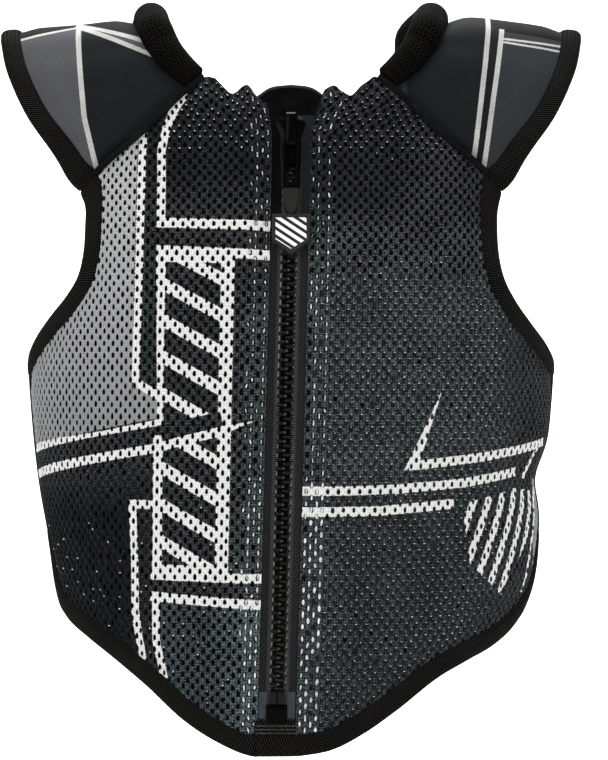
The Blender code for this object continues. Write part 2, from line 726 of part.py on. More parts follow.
def zip_point(z, across, outward):
    """A point placed from the zip's middle line."""
    point, out = zip_frame(z)
    point = point + out * np.asarray(outward, float)[..., None]
    point[..., 0] += across
    return point


def tooth_count():
    """Teeth in each row."""
    return round((CHAIN_END_DROP - CHAIN_TOP_DROP) / TOOTH_PITCH)


def chain_end():
    """Drop of the lowest tooth's lower side."""
    return CHAIN_TOP_DROP + TOOTH_PITCH * (tooth_count() - 0.5) + TOOTH_WIDTH


def box_end():
    """Drop of the box's lower side."""
    return chain_end() + PIN_LENGTH + BOX_LENGTH + 2 * GAP


def zip_tape(name, side, panel_edge):
    """One woven tape between its teeth and its panel's edge, spread a little at the neck."""
    low, joint, high = -box_end(), -chain_end(), TAPE_TOP_RISE - SLIDER_TOP_DROP
    level = panel_edge[:, 1]
    away = np.abs(level[:, None] - (low, joint, high)).min(axis=1)
    kept = level[(away > SLIDER_PLATE) & (level > low) & (level < high)]
    z = np.sort(np.concatenate([kept, (low, joint, high)]))
    inner = np.where(z <= joint, BOX_WIDTH / 2, CHAIN_HALF_WIDTH) + GAP
    spread = np.clip((z + CHAIN_TOP_DROP) / (CHAIN_TOP_DROP - SLIDER_TOP_DROP), 0, 1)
    inner += TAPE_SPREAD * spread
    edge_x = section(level)[:, 0] * np.sin(panel_edge[:, 0])
    outer = np.interp(z, level, edge_x) - side * zip_x(z) - TAPE_CLEARANCE
    front = np.stack([zip_point(z, side * x, TAPE_THICKNESS / 2) for x in (inner, outer)], axis=1)
    back = np.stack([zip_point(z, side * x, -TAPE_THICKNESS / 2) for x in (inner, outer)], axis=1)
    slab(name, front, back, ZIP_TAPE)


def zip_teeth(name, side):
    """One row of moulded teeth on its spine. The other row's teeth stand between these."""
    count = tooth_count()
    start = -CHAIN_TOP_DROP - (TOOTH_PITCH / 2 if side > 0 else 0)
    upper = start - TOOTH_PITCH * np.arange(count)
    lower = upper - TOOTH_WIDTH
    reach = CHAIN_HALF_WIDTH * 0.20
    root = CHAIN_HALF_WIDTH * 0.30
    columns = []
    for across, z in ((-reach, upper), (-reach, lower), (root, upper), (root, lower),
                      (CHAIN_HALF_WIDTH, upper)):
        columns.append([zip_point(z, side * across, out) for out in (TOOTH_HEIGHT, -TOOTH_HEIGHT)])
    last = [zip_point(lower[-1:], side * CHAIN_HALF_WIDTH, out)[0] for out in (TOOTH_HEIGHT, -TOOTH_HEIGHT)]
    points = [*np.array(columns).transpose(2, 1, 0, 3).reshape(-1, 3), *last]
    faces = []
    for k in range(count):
        head_up, head_low, root_up, root_low, edge = [10 * k + n for n in range(5)]
        final = k == count - 1
        below = 10 * count if final else edge + 10
        sheet = [root_up, root_low, below, edge] if final else [root_up, root_low, root_up + 10, below, edge]
        shift = 1 if final else 5
        faces.append([head_up, head_low, root_low, root_up])
        faces.append([head_up + 5, root_up + 5, root_low + 5, head_low + 5])
        faces.append(sheet)
        faces.append([v + (shift if v == 10 * count else 5) for v in sheet[::-1]])
        walls = [(head_up, head_low), (root_up, head_up), (head_low, root_low)]
        walls.append((root_low, below) if final else (root_low, root_up + 10))
        walls.append((edge, below))
        if k == 0:
            walls.append((root_up, edge))
        for a, b in walls:
            faces.append([a, b, b + (shift if b == 10 * count else 5), a + 5])
    add_mesh(name, points, faces, ZIP_RESIN, smooth=False)


def prism(name, outline, back, front, finish, keep=True):
    """A plate with an outline of across and up, from its back to its front, facing -Y."""
    outline = np.asarray(outline, float)
    count = len(outline)
    points = [(x, -front, z) for x, z in outline] + [(x, -back, z) for x, z in outline]
    faces = [tuple(range(count)), tuple(range(2 * count - 1, count - 1, -1))]
    faces += [(i, (i + 1) % count, (i + 1) % count + count, i + count) for i in range(count)]
    made = add_mesh(name, points, faces, finish, smooth=False)
    if not keep:
        made.hide_render = True
        made.display_type = "WIRE"
    return made


def ring(outer, inner, back, front):
    """Points and faces of a plate with a window; both outlines have as many points."""
    outer, inner = np.asarray(outer, float), np.asarray(inner, float)
    count = len(outer)
    loops = [(outer, front), (inner, front), (inner, back), (outer, back)]
    points = [(x, -out, z) for loop, out in loops for x, z in loop]
    faces = []
    for level in range(4):
        a, b = level * count, (level + 1) % 4 * count
        faces += [(a + i, a + (i + 1) % count, b + (i + 1) % count, b + i) for i in range(count)]
    return points, faces


def join(target, *others):
    """Unites solids with a target; the others stay as guides."""
    for other in others:
        other.hide_render = True
        other.display_type = "WIRE"
        union = target.modifiers.new("union_" + other.name, "BOOLEAN")
        union.operation = "UNION"
        union.solver = "EXACT"
        union.object = other


def place(items, point, tilt):
    """Puts objects at a point, turned about X."""
    for item in items:
        item.location = point
        item.rotation_euler = (tilt, 0, 0)


def half_outline(points):
    """A symmetrical outline from its right half, listed from top to bottom."""
    points = np.asarray(points, float)
    return np.concatenate([points, (points * (-1, 1))[::-1]])


def zip_slider():
    """The slider's two plates, the post between them and the crown; returns the pull's hinge point."""
    half, waist = SLIDER_SHOULDER_WIDTH / 2, SLIDER_WAIST_WIDTH / 2
    length = SLIDER_LENGTH
    outline = half_outline([
        (half * 0.45, 0), (half * 0.85, -length * 0.04), (half, -length * 0.10),
        (waist, -length * 0.38), (waist, -length * 0.96), (waist * 0.9, -length),
    ])
    gap = TOOTH_HEIGHT + GAP
    front = prism("zip_slider", outline, gap, gap + SLIDER_PLATE, ZIP_RESIN)
    back = prism("slider_back", outline, -gap - SLIDER_PLATE, -gap, ZIP_RESIN, keep=False)
    post = CHAIN_HALF_WIDTH * 0.7
    post_line = [(post, -length * 0.06), (post * 0.8, -length * 0.40)]
    middle = prism("slider_post", half_outline(post_line), -gap - SLIDER_PLATE / 2, gap + SLIDER_PLATE / 2,
                   ZIP_RESIN, keep=False)
    top, low = CROWN_OVERHANG, CROWN_OVERHANG - CROWN_LENGTH
    face, rise = gap + SLIDER_PLATE, gap + SLIDER_PLATE + CROWN_HEIGHT
    foot = face - SLIDER_PLATE / 2
    wall = CROWN_WALL
    arch = [(foot, top - wall * 2), (face + wall, top), (rise - wall, top), (rise, top - wall),
            (rise, low + wall), (rise - wall, low), (foot, low), (foot, low + wall),
            (rise - wall, low + wall), (rise - wall, top - wall * 2.6), (foot, top - wall * 3.2)]
    width = CROWN_WIDTH / 2
    points = [(-width, -n, z) for n, z in arch] + [(width, -n, z) for n, z in arch]
    count = len(arch)
    faces = [tuple(range(count)), tuple(range(2 * count - 1, count - 1, -1))]
    faces += [(i, (i + 1) % count, (i + 1) % count + count, i + count) for i in range(count)]
    crown = add_mesh("slider_crown", points, faces, ZIP_RESIN, smooth=False)
    join(front, back, middle, crown)
    point, out = zip_frame(-SLIDER_TOP_DROP)
    low_point, _ = zip_frame(-SLIDER_TOP_DROP - length)
    run = point - low_point
    tilt = -math.atan2(run[1], run[2])
    place([front, back, middle, crown], point, tilt)
    reach = math.hypot(PIVOT_RADIUS, LINK_THICKNESS / 2) + GAP
    turn = np.array([[math.cos(tilt), -math.sin(tilt)], [math.sin(tilt), math.cos(tilt)]])
    return point + np.r_[0, turn @ (-face - reach, low + wall + reach)]


def zip_pull(pivot):
    """The pull that hinges on the crown: a link with a tab, and the rubber badge on the tab's end."""
    half = LINK_WIDTH / 2
    window = CROWN_WIDTH / 2 + GAP
    length = LINK_LENGTH
    radius = PIVOT_RADIUS
    outer = half_outline([(window + 0.0005, radius), (half, -radius), (half, -length + 0.002),
                          (half - 0.001, -length)])
    inner = half_outline([(window, -radius), (window, -2 * radius), (window, -length + 0.0050),
                          (window - 0.0006, -length + 0.0045)])
    points, faces = ring(outer, inner, -LINK_THICKNESS / 2, LINK_THICKNESS / 2)
    link = add_mesh("zip_pull", points, faces, ZIP_RESIN, smooth=False)
    tab_top = -length + 0.0030
    tab_low = tab_top - TAB_LENGTH
    top, end = TAB_TOP_WIDTH / 2, TAB_END_WIDTH / 2
    tab = half_outline([(top - CHAMFER, tab_top), (top, tab_top - CHAMFER), (top, tab_top - TAB_LENGTH * 0.45),
                        (end, tab_low + 0.0016), (end * 0.8, tab_low + 0.0005), (end * 0.4, tab_low)])
    tab = prism("pull_tab", tab, -LINK_THICKNESS / 2 + 0.0002, -LINK_THICKNESS / 2 + TAB_THICKNESS,
                PULL_PLASTIC, keep=False)
    join(link, tab)
    wide = BADGE_WIDTH / 2
    badge_top = tab_low - GAP
    neck = TAB_TOP_WIDTH / 2 + 0.0004
    shoulder_low = badge_top - BADGE_LENGTH * 0.66
    back = -LINK_THICKNESS / 2 - 0.0012
    pentagon = half_outline([(wide - CHAMFER, badge_top), (wide, badge_top - CHAMFER), (wide, shoulder_low),
                             (CHAMFER, badge_top - BADGE_LENGTH)])
    badge = prism("zip_badge", pentagon, back, back + BADGE_THICKNESS, BADGE_RUBBER)
    top_z = badge_top + TAB_LENGTH * 0.42
    stem = half_outline([(neck * 0.93, top_z), (neck, top_z - 0.0008), (neck, badge_top - 0.002)])
    stem = prism("badge_stem", stem, back + 0.0001, -LINK_THICKNESS / 2 - GAP + 0.0002, BADGE_RUBBER,
                 keep=False)
    inset = half_outline([(wide - BADGE_RIM - 0.0003, badge_top - BADGE_RIM),
                          (wide - BADGE_RIM, badge_top - BADGE_RIM - 0.0003),
                          (wide - BADGE_RIM, shoulder_low + BADGE_RIM * 0.4),
                          (0.0005, badge_top - BADGE_LENGTH + BADGE_RIM * 1.25)])
    front = back + BADGE_THICKNESS
    points, faces = ring(pentagon, inset, front - 0.0005, front + BADGE_RIM_RISE)
    rim = add_mesh("badge_rim", points, faces, BADGE_RUBBER, smooth=False)
    join(badge, stem, rim)
    end_point = zip_point(pivot[2] - PULL_REACH, 0.0, PULL_END_OUT)
    run = end_point - pivot
    tilt = -math.atan2(-run[1], -run[2])
    place([link, tab, badge, stem, rim], (zip_x(pivot[2]), pivot[1], pivot[2]), tilt)


def zip_end():
    """The two pin halves, the box that holds them and the webbing foot under it."""
    low = chain_end()
    middle = -(low + GAP + PIN_LENGTH / 2)
    for suffix, side in (("right", -1), ("left", 1)):
        inner, outer = GAP / 2, PIN_WIDTH / 2
        line = [(side * x, z) for x, z in ((inner, PIN_LENGTH / 2), (outer, PIN_LENGTH / 2),
                                           (outer, -PIN_LENGTH / 2), (inner, -PIN_LENGTH / 2))]
        pin = prism("zip_pin_" + suffix, line, -TOOTH_HEIGHT, TOOTH_HEIGHT, ZIP_RESIN)
        point, out = zip_frame(middle)
        place([pin], point, -math.asin(out[2]))
    top = -(low + 2 * GAP + PIN_LENGTH)
    half = BOX_WIDTH / 2
    line = half_outline([(half, BOX_LENGTH / 2), (half, -BOX_LENGTH / 2 + CHAMFER),
                         (half - CHAMFER, -BOX_LENGTH / 2)])
    box = prism("zip_box", line, -BOX_THICKNESS / 2, BOX_THICKNESS / 2, ZIP_RESIN)
    point, out = zip_frame(top - BOX_LENGTH / 2)
    place([box], point, -math.asin(out[2]))
    z = np.linspace(BINDING_WIDTH + 2 * GAP - HEM_DROP * HEM_EDGE[1][2], -box_end() - GAP, 3)
    across = np.linspace(-1, 1, 3) * (ZIP_HALF_OPENING - TAPE_CLEARANCE)
    front = np.stack([zip_point(z, x, FOOT_THICKNESS / 2) for x in across], axis=1)
    back = np.stack([zip_point(z, x, -FOOT_THICKNESS / 2) for x in across], axis=1)
    slab("zip_foot", front, back, BLACK_WEBBING)


def main():
    """Builds the vest."""
    clear_scene()
    for suffix, side in (("right", -1), ("left", 1)):
        panel_edge = front_panel("front_panel_" + suffix, side)
        shoulder(suffix, side)
        bindings(suffix, side)
        zip_tape("zip_tape_" + suffix, side, panel_edge)
        zip_teeth("zip_teeth_" + suffix, side)
    back_panel("back_panel")
    hem_back("hem_binding_back")
    pivot = zip_slider()
    zip_pull(pivot)
    zip_end()


main()
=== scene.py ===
"""Looks of a child's body protector vest: holed mesh over foam, webbing bindings and a moulded zip."""

import logging
import math
from collections.abc import Callable, Sequence
from dataclasses import dataclass, replace
from enum import Enum

import bmesh
import bpy
import numpy as np
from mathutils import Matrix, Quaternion, Vector
from numpy.typing import NDArray


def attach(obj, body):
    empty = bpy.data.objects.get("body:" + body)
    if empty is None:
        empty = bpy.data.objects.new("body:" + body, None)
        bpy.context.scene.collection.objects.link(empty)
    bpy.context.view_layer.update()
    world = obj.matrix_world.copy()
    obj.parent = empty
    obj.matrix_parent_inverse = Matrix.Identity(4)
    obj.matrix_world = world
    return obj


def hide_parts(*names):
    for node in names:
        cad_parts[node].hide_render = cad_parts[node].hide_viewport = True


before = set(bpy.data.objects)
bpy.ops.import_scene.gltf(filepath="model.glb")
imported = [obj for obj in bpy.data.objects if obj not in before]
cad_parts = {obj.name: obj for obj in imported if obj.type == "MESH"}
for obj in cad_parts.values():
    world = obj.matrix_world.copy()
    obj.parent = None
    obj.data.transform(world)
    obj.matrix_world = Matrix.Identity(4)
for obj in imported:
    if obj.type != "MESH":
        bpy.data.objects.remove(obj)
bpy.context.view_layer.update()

Array = NDArray[np.float64]
Zone = Sequence[tuple[float, float]]
LOG = logging.getLogger("vest")
QUARTER = math.pi / 2
TURN = 2 * math.pi


class Side(Enum):
    """The wearer's two sides; the value is the sign of X."""

    RIGHT = -1
    LEFT = 1

    @property
    def word(self) -> str:
        """The side's name in the names of pieces."""
        return self.name.lower()


# ---- lines and tables


def smooth(share: Array) -> Array:
    """3x^2 - 2x^3 on a share held between 0 and 1."""
    held = np.clip(share, 0, 1)
    return held * held * (3 - 2 * held)


def hermite(knots: Array, values: Array, at: Array) -> Array:
    """A smooth curve through values at rising knots.

    Formula: cubic Hermite pieces, whose slope at a knot is the mean of its two neighbours' slopes, each
    weighed by the other's length.

    Args:
        knots: the rising places of the values.
        values: one value or row of values for each knot.
        at: where the curve is read, inside the knots.

    Returns:
        The values read there.
    """
    knots, values, at = (np.asarray(v, float) for v in (knots, values, at))
    if values.ndim == 1:
        return hermite(knots, values[:, None], at)[..., 0]
    step = np.diff(knots)[:, None]
    slope = np.diff(values, axis=0) / step
    inner = (slope[1:] * step[:-1] + slope[:-1] * step[1:]) / (step[1:] + step[:-1])
    tangent = np.vstack([slope[:1], inner, slope[-1:]])
    i = np.clip(np.searchsorted(knots, at, side="right") - 1, 0, len(knots) - 2)
    h = step[i]
    t = ((at - knots[i]) / h[..., 0])[..., None]
    return (
        (2 * t**3 - 3 * t**2 + 1) * values[i]
        + (t**3 - 2 * t**2 + t) * h * tangent[i]
        + (3 * t**2 - 2 * t**3) * values[i + 1]
        + (t**3 - t**2) * h * tangent[i + 1]
    )


def lengths(line: Array, scale: float | Sequence[float] = 1.0) -> Array:
    """Length along a line up to each of its points; scale weighs each axis."""
    return np.r_[0, np.cumsum(np.linalg.norm(np.diff(line * np.asarray(scale), axis=0), axis=1))]


def even(line: Array, count: int, scale: float | Sequence[float] = 1.0) -> Array:
    """Points at even steps along a line of many points.

    Args:
        line: the line's points.
        count: how many points are wanted.
        scale: weighs each axis in the lengths.

    Returns:
        The new points.
    """
    reach = lengths(line, scale)
    at = np.linspace(0, reach[-1], count)
    return np.column_stack([np.interp(at, reach, column) for column in line.T])


def curve(points: Array, count: int, scale: float | Sequence[float] = 1.0) -> Array:
    """Points at even steps along a smooth curve through a few points.

    Args:
        points: what the curve runs through.
        count: how many points are wanted.
        scale: weighs each axis in the lengths.

    Returns:
        The new points.
    """
    points = np.asarray(points, float)
    reach = lengths(points, scale)
    return even(hermite(reach, points, np.linspace(0, reach[-1], 400)), count, scale)


def read_rows(rows: Array, index: Array) -> Array:
    """Rows read at fractional indices, straight between two rows.

    Args:
        rows: a row for each whole index.
        index: the indices that are read.

    Returns:
        One row for each index.
    """
    flat = rows.reshape(len(rows), -1)
    whole = np.arange(len(rows))
    read = np.column_stack([np.interp(index, whole, column) for column in flat.T])
    return read.reshape(len(index), *rows.shape[1:])


def even_rows(rows: Array, column: int, count: int, first: int = 0, last: int | None = None,
              scale: float | Sequence[float] = 1.0) -> Array:
    """Rows at even steps along one column of a band.

    Args:
        rows: rows of places.
        column: the column along which the steps are even.
        count: how many rows are wanted.
        first: the first row that is used.
        last: the last one, or None for the band's end.
        scale: weighs each axis in the lengths.

    Returns:
        The new rows.
    """
    part = rows[first:None if last is None else last + 1]
    reach = lengths(part[:, column], scale)
    return read_rows(part, np.interp(np.linspace(0, reach[-1], count), reach, np.arange(len(part))))


def patch(bottom: Array, top: Array, left: Array, right: Array) -> Array:
    """A grid that fills four edge lines.

    Formula: Coons patch, the two blends of facing edges less the blend of the four corners.

    Args:
        bottom: edge line whose index is the grid's first one.
        top: the line facing it.
        left: edge line from the first point of bottom to that of top.
        right: the line facing it.

    Returns:
        The grid of points.
    """
    u = np.linspace(0, 1, len(bottom))[:, None, None]
    v = np.linspace(0, 1, len(left))[None, :, None]
    low_ends = (1 - u) * (1 - v) * bottom[0] + u * (1 - v) * bottom[-1]
    ends = low_ends + (1 - u) * v * top[0] + u * v * top[-1]
    return (1 - v) * bottom[:, None] + v * top[:, None] + (1 - u) * left[None] + u * right[None] - ends


def grid_faces(rows: int, columns: int, around: bool = False) -> Array:
    """Quads of a grid of points.

    Args:
        rows: rows of the grid.
        columns: points in each row.
        around: whether the last column is joined to the first.

    Returns:
        Four indices for each quad.
    """
    cell = np.arange(rows * columns).reshape(rows, columns)
    if around:
        cell = np.concatenate([cell, cell[:, :1]], axis=1)
    corners = (cell[:-1, :-1], cell[1:, :-1], cell[1:, 1:], cell[:-1, 1:])
    return np.stack(corners, axis=-1).reshape(-1, 4)


def slab_faces(rows: int, columns: int) -> Array:
    """Quads of a closed wall whose outer grid comes first and whose inner grid follows.

    Args:
        rows: rows of each grid.
        columns: points in each row.

    Returns:
        Four indices for each quad.
    """
    cell = np.arange(rows * columns).reshape(rows, columns)
    quads = grid_faces(rows, columns)
    ring = np.concatenate([cell[:, 0], cell[-1, 1:], cell[-2::-1, -1], cell[0, -2:0:-1]])
    after = np.roll(ring, -1)
    inner = rows * columns
    rim = np.stack([ring, ring + inner, after + inner, after], axis=-1)
    return np.concatenate([quads, quads[:, ::-1] + inner, rim])


def tube_faces(rows: int, across: int) -> list[Array]:
    """Quads round a tube and the triangles of its two caps, whose middle points come last.

    Args:
        rows: rings of the tube.
        across: points of each ring.

    Returns:
        The quads, and the triangles.
    """
    ring = np.arange(across)
    after = np.roll(ring, -1)
    tail, size = (rows - 1) * across, rows * across
    start = np.stack([after, ring, np.full(across, size)], axis=-1)
    end = np.stack([ring + tail, after + tail, np.full(across, size + 1)], axis=-1)
    return [grid_faces(rows, across, around=True), np.concatenate([start, end])]


def signed_power(values: Array, power: float) -> Array:
    """The power of the values' sizes, with their signs."""
    return np.sign(values) * np.abs(values) ** power


def inside_distance(points: Array, outline: Array) -> tuple[Array, Array]:
    """How far points lie inside a closed outline, and their nearest places on it.

    Formula: the least distance to any of the outline's straight pieces, negative where a ray to the
    right crosses the outline an even number of times.

    Args:
        points: n places in the plane.
        outline: the closed outline's corners.

    Returns:
        The n distances, negative outside, and the n nearest places on the outline.
    """
    start, end = outline, np.roll(outline, -1, axis=0)
    way = end - start
    size = np.maximum((way**2).sum(axis=1), 1e-18)
    depth = np.empty(len(points))
    nearest = np.empty_like(points)
    for part in np.array_split(np.arange(len(points)), max(1, len(points) // 4000)):
        p = points[part][:, None]
        share = np.clip(((p - start) * way).sum(axis=2) / size, 0, 1)
        foot = start + share[..., None] * way
        gap = ((p - foot) ** 2).sum(axis=2)
        best = gap.argmin(axis=1)
        rows = np.arange(len(part))
        spans = (start[:, 1] > p[..., 1]) != (end[:, 1] > p[..., 1])
        rise = np.where(way[:, 1] == 0, 1, way[:, 1])
        cross = start[:, 0] + (p[..., 1] - start[:, 1]) * way[:, 0] / rise
        inside = (spans & (p[..., 0] < cross)).sum(axis=1) % 2 == 1
        depth[part] = np.where(inside, 1, -1) * np.sqrt(gap[rows, best])
        nearest[part] = foot[rows, best]
    return depth, nearest


# ---- the worn shape and the cut of the vest


@dataclass(frozen=True)
class Trunk:
    """The shape that the vest is worn on: two half ellipses, front and back, that change with height."""

    half_width: float = 0.140
    front: float = 0.100
    back: float = 0.097
    hem: float = 0.368
    # side, shares of the hem's drop down and in half height, share of the half width
    folds: tuple[tuple[float, float, float, float], ...] = (
        (1, 0.625, 0.038, -0.039), (1, 0.765, 0.062, 0.024), (-1, 0.725, 0.062, -0.016),
    )
    # share of the hem's drop, then shares of the half width, front depth and back depth
    sections: tuple[tuple[float, float, float, float], ...] = (
        (-0.05, 0.843, 0.360, 0.420), (0.050, 0.886, 0.535, 0.640), (0.100, 0.914, 0.620, 0.740),
        (0.200, 0.958, 0.745, 0.860), (0.270, 0.980, 0.840, 0.920), (0.350, 0.994, 0.925, 0.960),
        (0.435, 1.000, 0.980, 0.980), (0.540, 0.984, 1.000, 0.960), (0.685, 0.941, 0.975, 0.900),
        (0.830, 0.888, 0.925, 0.870), (1.000, 0.857, 0.862, 0.830), (1.100, 0.850, 0.845, 0.815),
    )

    def section(self, z: Array) -> Array:
        """Half width, front depth and back depth at a height.

        Args:
            z: heights in metres.

        Returns:
            The three sizes for each height.
        """
        table = np.array(self.sections)
        shares = hermite(table[:, 0], table[:, 1:], -np.asarray(z, float) / self.hem)
        return shares * (self.half_width, self.front, self.back)

    def _depth(self, turn: Array, size: Array) -> Array:
        """Depth of the half ellipse on which a turn lies."""
        return np.where(np.cos(turn) >= 0, size[..., 1], size[..., 2])

    def point(self, place: Array, side: float = 1) -> Array:
        """Points on the outer surface.

        Formula: x is the half width times the turn's sine, with bell-shaped dents and swells at the
        sides; y is minus the depth times the cosine.

        Args:
            place: turns in radians from the front's middle, and heights.
            side: -1 mirrors the turns to the wearer's right.

        Returns:
            The points.
        """
        turn, z = place[..., 0], place[..., 1]
        size = self.section(z)
        plain = side * size[..., 0] * np.sin(turn)
        across = plain
        for way, down, half, relief in self.folds:
            bell = np.exp(-(((z / self.hem + down) / half) ** 2))
            near = np.clip(way * plain / self.half_width, 0, 1) ** 4
            across = across + way * relief * self.half_width * bell * near
        return np.stack([across, -self._depth(turn, size) * np.cos(turn), z], axis=-1)

    def metric(self, place: Array) -> Array:
        """Length along the surface for one radian of turn.

        Args:
            place: turns and heights.

        Returns:
            The length at each place.
        """
        turn = place[..., 0]
        size = self.section(place[..., 1])
        return np.hypot(size[..., 0] * np.cos(turn), self._depth(turn, size) * np.sin(turn))

    def normal(self, place: Array, side: float = 1) -> Array:
        """Unit normals of the surface, outwards, from the differences over a tenth of a millimetre.

        Args:
            place: turns and heights.
            side: -1 mirrors the turns to the wearer's right.

        Returns:
            A normal for each place.
        """
        step = 1e-4
        over = self.point(place + (step, 0), side) - self.point(place - (step, 0), side)
        up = self.point(place + (0, step), side) - self.point(place - (0, step), side)
        normal = np.cross(over, up) * side
        return normal / np.linalg.norm(normal, axis=-1)[..., None]


TRUNK = Trunk()


def to_back(place: Array) -> Array:
    """Turns measured from the front become turns measured round to the back."""
    return place * (-1, 1) + (math.pi, 0)


def band(line: Array, widths: Sequence[float], start: Sequence[float] | None = None,
         end: Sequence[float] | None = None) -> Array:
    """Rows of places: a line on the trunk and its copies moved to its left by each width.

    Args:
        line: turns and heights.
        widths: how far each copy is moved.
        start: way, along the surface and up, in which the first row runs.
        end: the same for the last row.

    Returns:
        One row of places for each point of the line.
    """
    unit = np.column_stack([TRUNK.metric(line), np.ones(len(line))])
    step = np.gradient(line, axis=0) * unit
    step /= np.linalg.norm(step, axis=1)[:, None]
    way = np.column_stack([-step[:, 1], step[:, 0]])
    share = np.linspace(0, 1, len(line))
    rate = 6  # an end's own way fades over a sixth of the line
    for fixed, fade in ((start, 1 - share * rate), (end, share * rate - (rate - 1))):
        if fixed is not None:
            weight = np.clip(fade, 0, 1)[:, None]
            way = way * (1 - weight) + np.array(fixed) * weight
    return np.stack([line + way / unit * width for width in widths], axis=1)


@dataclass(frozen=True)
class Cut:
    """The vest's edges and seams, as turns and heights on the trunk.

    In the tables, turns are shares of the quarter turn.
    """

    underarm: float = 0.169
    seam: float = 0.080
    span: float = 0.153
    strap_depth: float = 0.050
    binding: float = 0.0104
    piping: float = 0.0017
    gap: float = 0.0003
    tape: float = 0.009
    opening: float = 0.0098
    drift: float = 0.007
    drift_from: float = 0.16
    drift_to: float = 0.92
    flare: tuple[float, float] = (0.0025, 0.0060)
    flare_drop: float = 0.052
    flare_height: float = 0.016
    roll_radius: float = 0.0095
    roll_twist: float = 0.006
    roll_back: float = 0.90
    end_stretch: float = 1.35
    # how far the padding runs under webbing, and the gap where two runs of webbing meet at a seam
    tuck: float = 0.0012
    meet: float = 0.0003
    # rows of places along the neck, the seam, the side and the armhole
    counts: tuple[int, int, int, int] = (40, 36, 20, 60)
    # turn, right, left, back
    hem_edge: tuple[tuple[float, float, float, float], ...] = (
        (-0.15, 1.002, 0.999, 0.985), (0.040, 1.000, 0.997, 0.990), (0.105, 0.999, 0.991, 0.982),
        (0.200, 0.981, 0.968, 0.962), (0.290, 0.955, 0.939, 0.938), (0.420, 0.905, 0.896, 0.898),
        (0.530, 0.872, 0.874, 0.872), (0.650, 0.845, 0.856, 0.850), (0.790, 0.820, 0.829, 0.825),
        (0.870, 0.800, 0.808, 0.804), (0.940, 0.757, 0.772, 0.765), (0.975, 0.726, 0.733, 0.730),
        (1.000, 0.718, 0.718, 0.718),
    )
    # turn, right, left
    armhole_edge: tuple[tuple[float, float, float], ...] = (
        (1.000, 1.000, 1.000), (0.900, 0.963, 0.975), (0.800, 0.914, 0.934), (0.700, 0.852, 0.876),
        (0.628, 0.796, 0.812), (0.582, 0.736, 0.742), (0.566, 0.670, 0.670), (0.566, 0.585, 0.600),
        (0.576, 0.512, 0.530),
    )
    # turn, share of the seam's drop
    shoulder_seam: tuple[tuple[float, float], ...] = (
        (0.215, 0.235), (0.268, 0.320), (0.320, 0.440), (0.383, 0.590), (0.461, 0.735), (0.538, 0.870),
        (0.600, 1.000),
    )
    # turn, right, left
    neck_edge: tuple[tuple[float, float, float], ...] = (
        (0.060, 0.445, 0.470), (0.090, 0.395, 0.350), (0.115, 0.330, 0.335), (0.135, 0.345, 0.372),
        (0.152, 0.360, 0.375), (0.183, 0.325, 0.335), (0.205, 0.262, 0.285),
    )
    # turn, share of the seam's drop
    back_neck: tuple[tuple[float, float], ...] = (
        (0.000, 0.175), (0.060, 0.195), (0.110, 0.270), (0.160, 0.310), (0.200, 0.270),
    )
    # shares of the span, the strap's half depth and the seam's drop
    strap_edge: tuple[tuple[float, float, float], ...] = (
        (0.748, -0.985, -0.915), (0.787, -0.965, -0.790), (0.895, -0.880, -0.490), (0.967, -0.680, -0.185),
        (0.996, -0.340, 0.035), (1.002, 0.000, 0.100),
    )
    # the same, and the share of the roll's radius
    roll_line: tuple[tuple[float, float, float, float], ...] = (
        (0.328, -1.000, -0.270, 0.68), (0.376, -0.930, -0.190, 0.80), (0.428, -0.800, -0.070, 0.90),
        (0.470, -0.480, 0.090, 0.98), (0.487, 0.000, 0.172, 1.00),
    )

    @property
    def flat(self) -> tuple[float, float]:
        """Scale of turns and heights where even steps are taken along an edge."""
        return TRUNK.half_width, 1.0

    def quarter(self, table: Sequence[Sequence[float]], column: int, drop: float) -> Array:
        """A table's edge as turns and heights.

        Args:
            table: rows that begin with a turn.
            column: where the row has the share of the drop.
            drop: the whole drop in metres.

        Returns:
            A turn and a height for each row.
        """
        rows = np.array(table)
        return np.column_stack([rows[:, 0] * QUARTER, -rows[:, column] * drop])

    def zip_x(self, z: Array) -> Array:
        """The zip's middle line: it drifts to the wearer's right with the 1.2th power of the way down."""
        low = (-np.asarray(z, float) / TRUNK.hem - self.drift_from) / (self.drift_to - self.drift_from)
        return -self.drift * np.clip(low, 0, None) ** 1.2

    def zip_edge(self, z: Array, side: int) -> Array:
        """Turn of a front panel's edge beside the zip, as seen from its own side.

        Args:
            z: heights in metres.
            side: -1 for the wearer's right, 1 for the left.

        Returns:
            The turn at each height.
        """
        high = np.clip((z + self.flare_drop) / self.flare_height, 0, 1)
        flare = self.flare[side > 0] * high**1.5
        return np.arcsin((side * self.zip_x(z) + self.opening + flare) / TRUNK.section(z)[..., 0])

    def side_gap(self, clearance: float) -> float:
        """Turn that the side seam's tape takes on each side of the seam."""
        middle = -(self.underarm + self.hem_edge[-1][1] * TRUNK.hem) / 2
        return (self.tape / 2 + clearance) / float(TRUNK.metric(np.array([QUARTER, middle])))

    def seam_end(self) -> tuple[Array, Array]:
        """The shoulder seam's outer end.

        Returns:
            Its place, and the way back along the seam from there.
        """
        knots = self.quarter(self.shoulder_seam, 1, self.seam)
        back = (knots[-2] - knots[-1]) * (float(TRUNK.metric(knots[-1])), 1)
        return knots[-1], back / np.linalg.norm(back)

    def seam_rows(self, moved: float = 0.0) -> Array:
        """The shoulder seam from the neck outwards, moved up by a width."""
        line = curve(self.quarter(self.shoulder_seam, 1, self.seam), 200, self.flat)
        return band(line, (moved,))[:, 0]

